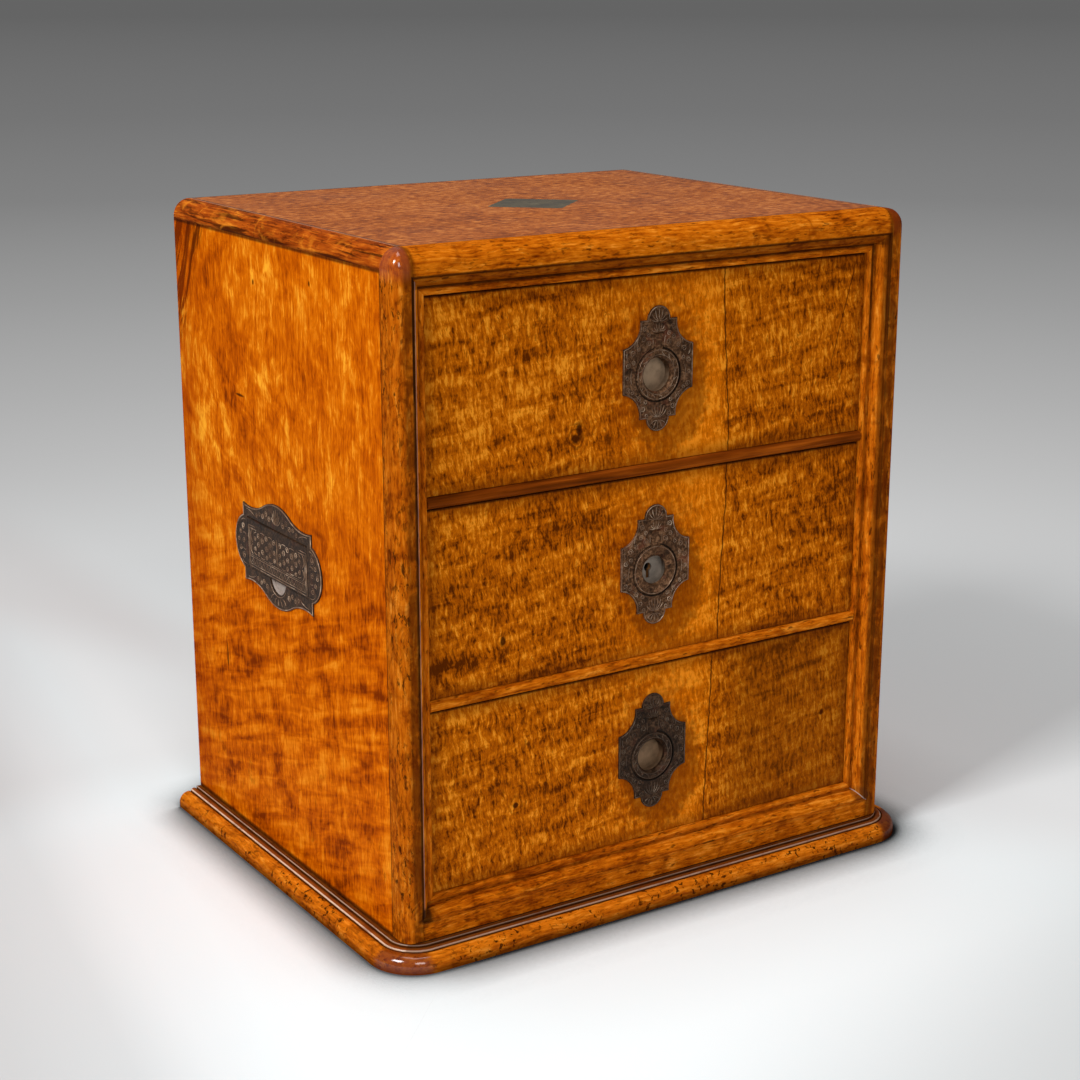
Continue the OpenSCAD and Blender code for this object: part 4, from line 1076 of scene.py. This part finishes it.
def draw_handle(relief):
    """Rim line, a palmette over the flap, scrolls along the edges and in the round ends."""
    relief.line(handle_loop(0.6), 0.7, 0.3, closed=True)
    relief.palmette(
        18.6, 27.6, (0.4, 18.6),
        (((2.2, 26.8), -0.6), ((4.2, 25.0), -0.8), ((5.4, 22.2), -0.8)),
    )
    relief.line(arc((0.0, NOTCH_Z), NOTCH_R + 1.2, 212, 116), 0.45, 0.16)
    relief.line(leaf((0.0, -24.4), (0.0, -28.4), 0.0))
    for start, end, rise in (((2.2, -24.2), (4.6, -27.8), 0.5), ((5.8, -23.0), (9.4, -26.0), 0.6)):
        relief.both(leaf(start, end, rise))
    relief.scrolls(
        ((8.6, 20.2), 1.9, 180, -560),
        ((12.8, 22.2), 1.8, 20, 540),
        ((17.0, 20.0), 1.8, 200, -540),
        ((21.4, 20.4), 1.6, 0, 520),
        ((25.4, 18.6), 1.5, 180, -520),
        ((13.8, -20.2), 1.9, 180, 560),
        ((18.2, -18.2), 1.6, -20, -520),
        ((21.6, -20.0), 1.6, 160, -540),
        ((25.8, -18.4), 1.5, 180, 520),
        ((43.6, 8.8), 2.0, 250, 560),
        ((47.2, 5.0), 1.7, 70, -540),
        ((43.6, -8.8), 2.0, 110, -560),
        ((47.2, -5.0), 1.7, -70, 540),
        ((50.0, 0.0), 1.6, 90, 540),
        ((43.4, 0.0), 1.8, 180, -540),
    )
    relief.leaves(
        ((28.0, 18.0), (38.6, 20.2), 0.8),
        ((28.0, -17.6), (38.6, -20.2), -0.8),
        ((40.4, 13.2), (46.0, 11.8), 0.7),
        ((40.4, -13.2), (46.0, -11.8), -0.7),
        ((40.6, 4.6), (44.6, 4.4), 0.6),
        ((40.6, -4.6), (44.6, -4.4), -0.6),
    )


def draw_flap(relief):
    """A double frame, a zigzag border along the free edge, scallops at the sides, scrolls between."""
    frame_low, border_high, frame_high = -13.1, -7.2, 11.2
    for inset in (0.0, 1.5):
        side = 36.6 - inset
        high = frame_high - inset
        low = frame_low + inset
        relief.both([(side - 8.5, high), (side - 4.0, high), (side, high)])
        relief.both([(side, high), (side, 0.0), (side, low)])
        relief.line([(-side, low), (0.0, low), (side, low)])
    for rise, width, height in ((0.0, BROAD_W, BROAD_H), (1.0, 0.35, 0.14)):
        level = border_high + rise
        relief.line([(-35.0, level), (0.0, level), (35.0, level)], width, height)
    teeth = 15
    pitch = 68.0 / teeth
    for tooth in range(teeth):
        left = -34.0 + pitch * tooth
        mid = left + pitch / 2
        peak = (mid, border_high - 0.6)
        relief.line([(left, frame_low + 2.0), peak], 0.5, 0.2)
        relief.line([peak, (left + pitch, frame_low + 2.0)], 0.5, 0.2)
        relief.line([(mid, frame_low + 2.2), (mid, border_high - 2.4)], 0.45, 0.16)
    relief.both(leaf((31.4, 9.4), (31.6, 1.6), 2.4), 0.6)
    relief.both(leaf((31.6, 0.8), (31.4, -5.6), 2.4), 0.6)
    relief.line(leaf((0.0, -5.0), (0.0, 10.2), 0.0))
    relief.scrolls(
        ((3.8, 7.4), 1.9, 200, -560),
        ((3.4, 2.0), 1.7, 170, 540),
        ((3.6, -3.2), 1.6, 200, -520),
        ((8.4, 4.8), 2.0, 180, 580),
        ((8.6, -1.0), 1.8, 160, -540),
        ((13.4, 7.4), 1.9, 190, -540),
        ((13.6, 1.9), 1.9, 170, 540),
        ((13.2, -3.6), 1.6, 190, -520),
        ((18.6, 4.9), 2.0, 180, -560),
        ((18.8, -1.2), 1.8, 170, 540),
        ((23.8, 7.2), 1.8, 190, 540),
        ((23.8, 1.6), 1.9, 180, -560),
        ((23.6, -3.7), 1.5, 170, 520),
        ((28.2, 4.4), 1.5, 180, -540),
        ((28.2, -1.4), 1.5, 180, 540),
    )
    relief.leaves(
        ((5.8, -4.9), (11.0, -4.9), -0.5),
        ((6.0, 8.8), (10.8, 9.2), 0.5),
        ((15.8, 9.0), (21.4, 9.2), 0.5),
        ((15.6, -4.9), (21.4, -4.9), -0.5),
        ((26.4, 8.6), (29.8, 7.0), 0.4),
        ((26.0, -4.8), (29.8, -3.8), -0.4),
    )


def add_ornament():
    bright = worn_material("bright_bronze", 1.14)
    for drawer in DRAWERS:
        worn = worn_material(drawer + "_worn_bronze", 0.94 * PULL_SHADES[drawer])
        centre = middle(drawer + "_pull_plate")

        def on_pull(a, b, out, centre=centre):
            return (centre.x + a * MM, PLATE_Y - out * MM, centre.z + b * MM)

        plate = Relief(on_pull)
        draw_pull(plate)
        plate.finish(drawer + "_pull_engraving", drawer + "_drawer", worn)
        ring = Relief(on_pull)
        if drawer == "middle":
            draw_plain_ring(ring)
        else:
            draw_ring(ring)
        ring.finish(drawer + "_ring_engraving", drawer + "_ring", worn)
    for side, turn in (("left", -1), ("right", 1)):
        centre = middle(side + "_handle_plate")

        def on_handle(a, b, out, centre=centre, turn=turn):
            return (turn * (abs(HANDLE_X) + out * MM), centre.y + turn * a * MM, centre.z + b * MM)

        plate = Relief(on_handle)
        draw_handle(plate)
        plate.finish(side + "_handle_engraving", "case", bright)
        flap = Relief(on_handle)
        draw_flap(flap)
        flap.finish(side + "_flap_engraving", side + "_flap", bright)


# Stage, light and camera

LENS_MM = 68.954
SENSOR_MM = 36.0
CAMERA_AT = Vector((-0.6453, -1.0088, 0.5162))
AZIMUTH = math.radians(-32.786)
ELEVATION = math.radians(15.734)
FLOOR_HALF = 40.0


def add_camera():
    data = bpy.data.cameras.new("camera")
    data.lens = LENS_MM
    data.sensor_width = SENSOR_MM
    camera = bpy.data.objects.new("camera", data)
    back = Vector((
        math.sin(AZIMUTH) * math.cos(ELEVATION),
        -math.cos(AZIMUTH) * math.cos(ELEVATION),
        math.sin(ELEVATION),
    ))
    camera.location = CAMERA_AT
    camera.rotation_euler = (-back).to_track_quat("-Z", "Y").to_euler()
    bpy.context.scene.collection.objects.link(camera)
    bpy.context.scene.camera = camera


def add_lamp(name, place, target, size, watts):
    data = bpy.data.lights.new(name, "AREA")
    data.shape = "SQUARE"
    data.size = size
    data.energy = watts
    lamp = bpy.data.objects.new(name, data)
    lamp.location = place
    lamp.rotation_euler = (Vector(target) - Vector(place)).to_track_quat("-Z", "Y").to_euler()
    bpy.context.scene.collection.objects.link(lamp)


def seen_rays(tree):
    path = tree.add("LightPath").outputs
    seen = tree.larger(path["Is Camera Ray"], path["Is Glossy Ray"])
    return tree.larger(seen, path["Is Transmission Ray"])


def grey(level):
    return (level, level, level, 1.0)


def backdrop_colour(tree, away):
    """Greys of the backdrop, darker the farther away they are."""
    reach = tree.math("DIVIDE", tree.math("LOGARITHM", tree.math("ADD", away, 0.3), 10.0), 1.3)
    stops = ((0.0, 0.60), (0.18, 0.425), (0.30, 0.325), (0.45, 0.22), (0.62, 0.175), (0.98, 0.128))
    return tree.ramp(reach, *((position, grey(level)) for position, level in stops))


def contact_shade(tree, leftwards, forwards):
    """Soft dark line where the plinth meets the floor, lighter beside the left side."""
    contact = tree.add("AmbientOcclusion")
    contact.inputs["Distance"].default_value = 0.045
    stops = (
        (0.66, 0.06), (0.72, 0.13), (0.77, 0.25), (0.81, 0.36), (0.85, 0.46), (0.89, 0.62), (0.92, 0.75),
        (0.955, 0.90), (0.99, 1.0),
    )
    shade = tree.ramp(contact.outputs["AO"], *((position, grey(level)) for position, level in stops))
    beside = tree.step(tree.minus(leftwards, tree.times(forwards, 1.2)), 0.05, 0.15)
    return tree.math("POWER", shade, tree.linear(beside, -0.65, 1.45))


def paper_colour(tree):
    """Pale paper under the object, in tints that even out the light on it, with painted shade far to the
    left, towards the front and behind on the left, and a painted shadow to the right of the case.
    """
    leftwards = tree.linear(tree.x, -2.0, tree.times(tree.y, 0.3))
    forwards = tree.linear(tree.x, 0.3, tree.times(tree.y, -1.0))
    rightwards = tree.linear(tree.y, 0.5, tree.x)
    # Painted shade: the paper darkens far to the left.
    sheet = tree.ramp(
        leftwards,
        (0.40, (0.92, 0.975, 0.99, 1.0)),
        (0.46, (0.88, 0.95, 0.97, 1.0)),
        (0.535, (0.80, 0.845, 0.86, 1.0)),
        (0.61, (0.66, 0.69, 0.70, 1.0)),
        (0.72, (0.59, 0.605, 0.61, 1.0)),
    )
    # Painted shade towards the front.
    sheet = tree.mix(tree.step(forwards, 0.24, 0.44), sheet, (0.67, 0.695, 0.70, 1.0))
    # Painted shadow to the right of the case.
    sheet = tree.mix(tree.step(rightwards, 0.07, 0.20), sheet, (0.84, 0.855, 0.86, 1.0))
    # Painted shade behind the case on the left.
    behind = tree.times(tree.step(tree.y, 0.13, 0.24), tree.step(tree.x, 0.0, -0.08))
    sheet = tree.mix(behind, sheet, (0.905, 0.856, 0.846, 1.0), "MULTIPLY")
    return tree.mix(1.0, sheet, contact_shade(tree, leftwards, forwards), "MULTIPLY")


def add_floor():
    mesh = bpy.data.meshes.new("floor")
    h = FLOOR_HALF
    mesh.from_pydata([(-h, -h, 0), (h, -h, 0), (h, h, 0), (-h, h, 0)], [], [(0, 1, 2, 3)])
    floor = bpy.data.objects.new("floor", mesh)
    bpy.context.scene.collection.objects.link(floor)
    tree = Tree("floor_paper")
    away = tree.add("VectorMath", tree.place, operation="LENGTH").outputs["Value"]
    paper = tree.add("BsdfDiffuse", paper_colour(tree))
    glow = tree.add("Emission", backdrop_colour(tree, away))
    share = tree.times(seen_rays(tree), tree.step(away, 0.35, 1.1))
    both = tree.add("MixShader", share, paper.outputs[0], glow.outputs[0])
    output = tree.add("OutputMaterial")
    tree.tree.links.new(both.outputs[0], output.inputs["Surface"])
    mesh.materials.append(tree.material)


def add_world():
    world = bpy.data.worlds.new("studio")
    bpy.context.scene.world = world
    world.use_nodes = True
    background = world.node_tree.nodes["Background"]
    background.inputs["Color"].default_value = (0.2, 0.2, 0.2, 1.0)
    background.inputs["Strength"].default_value = 1.0


def add_stage():
    add_floor()
    add_world()
    add_lamp("left_softbox", (-1.85, -0.45, 1.8), (0, 0, 0.2), 0.7, 43)
    add_lamp("front_softbox", (-0.8, -2.1, 1.5), (0, 0, 0.2), 0.8, 17)
    add_lamp("top_softbox", (0.0, 0.05, 2.4), (0, 0, 0.2), 1.1, 14)
    add_camera()


dress_case()
dress_drawers()
dress_fittings()
add_ornament()
add_stage()
bpy.context.scene.view_settings.view_transform = "Standard"
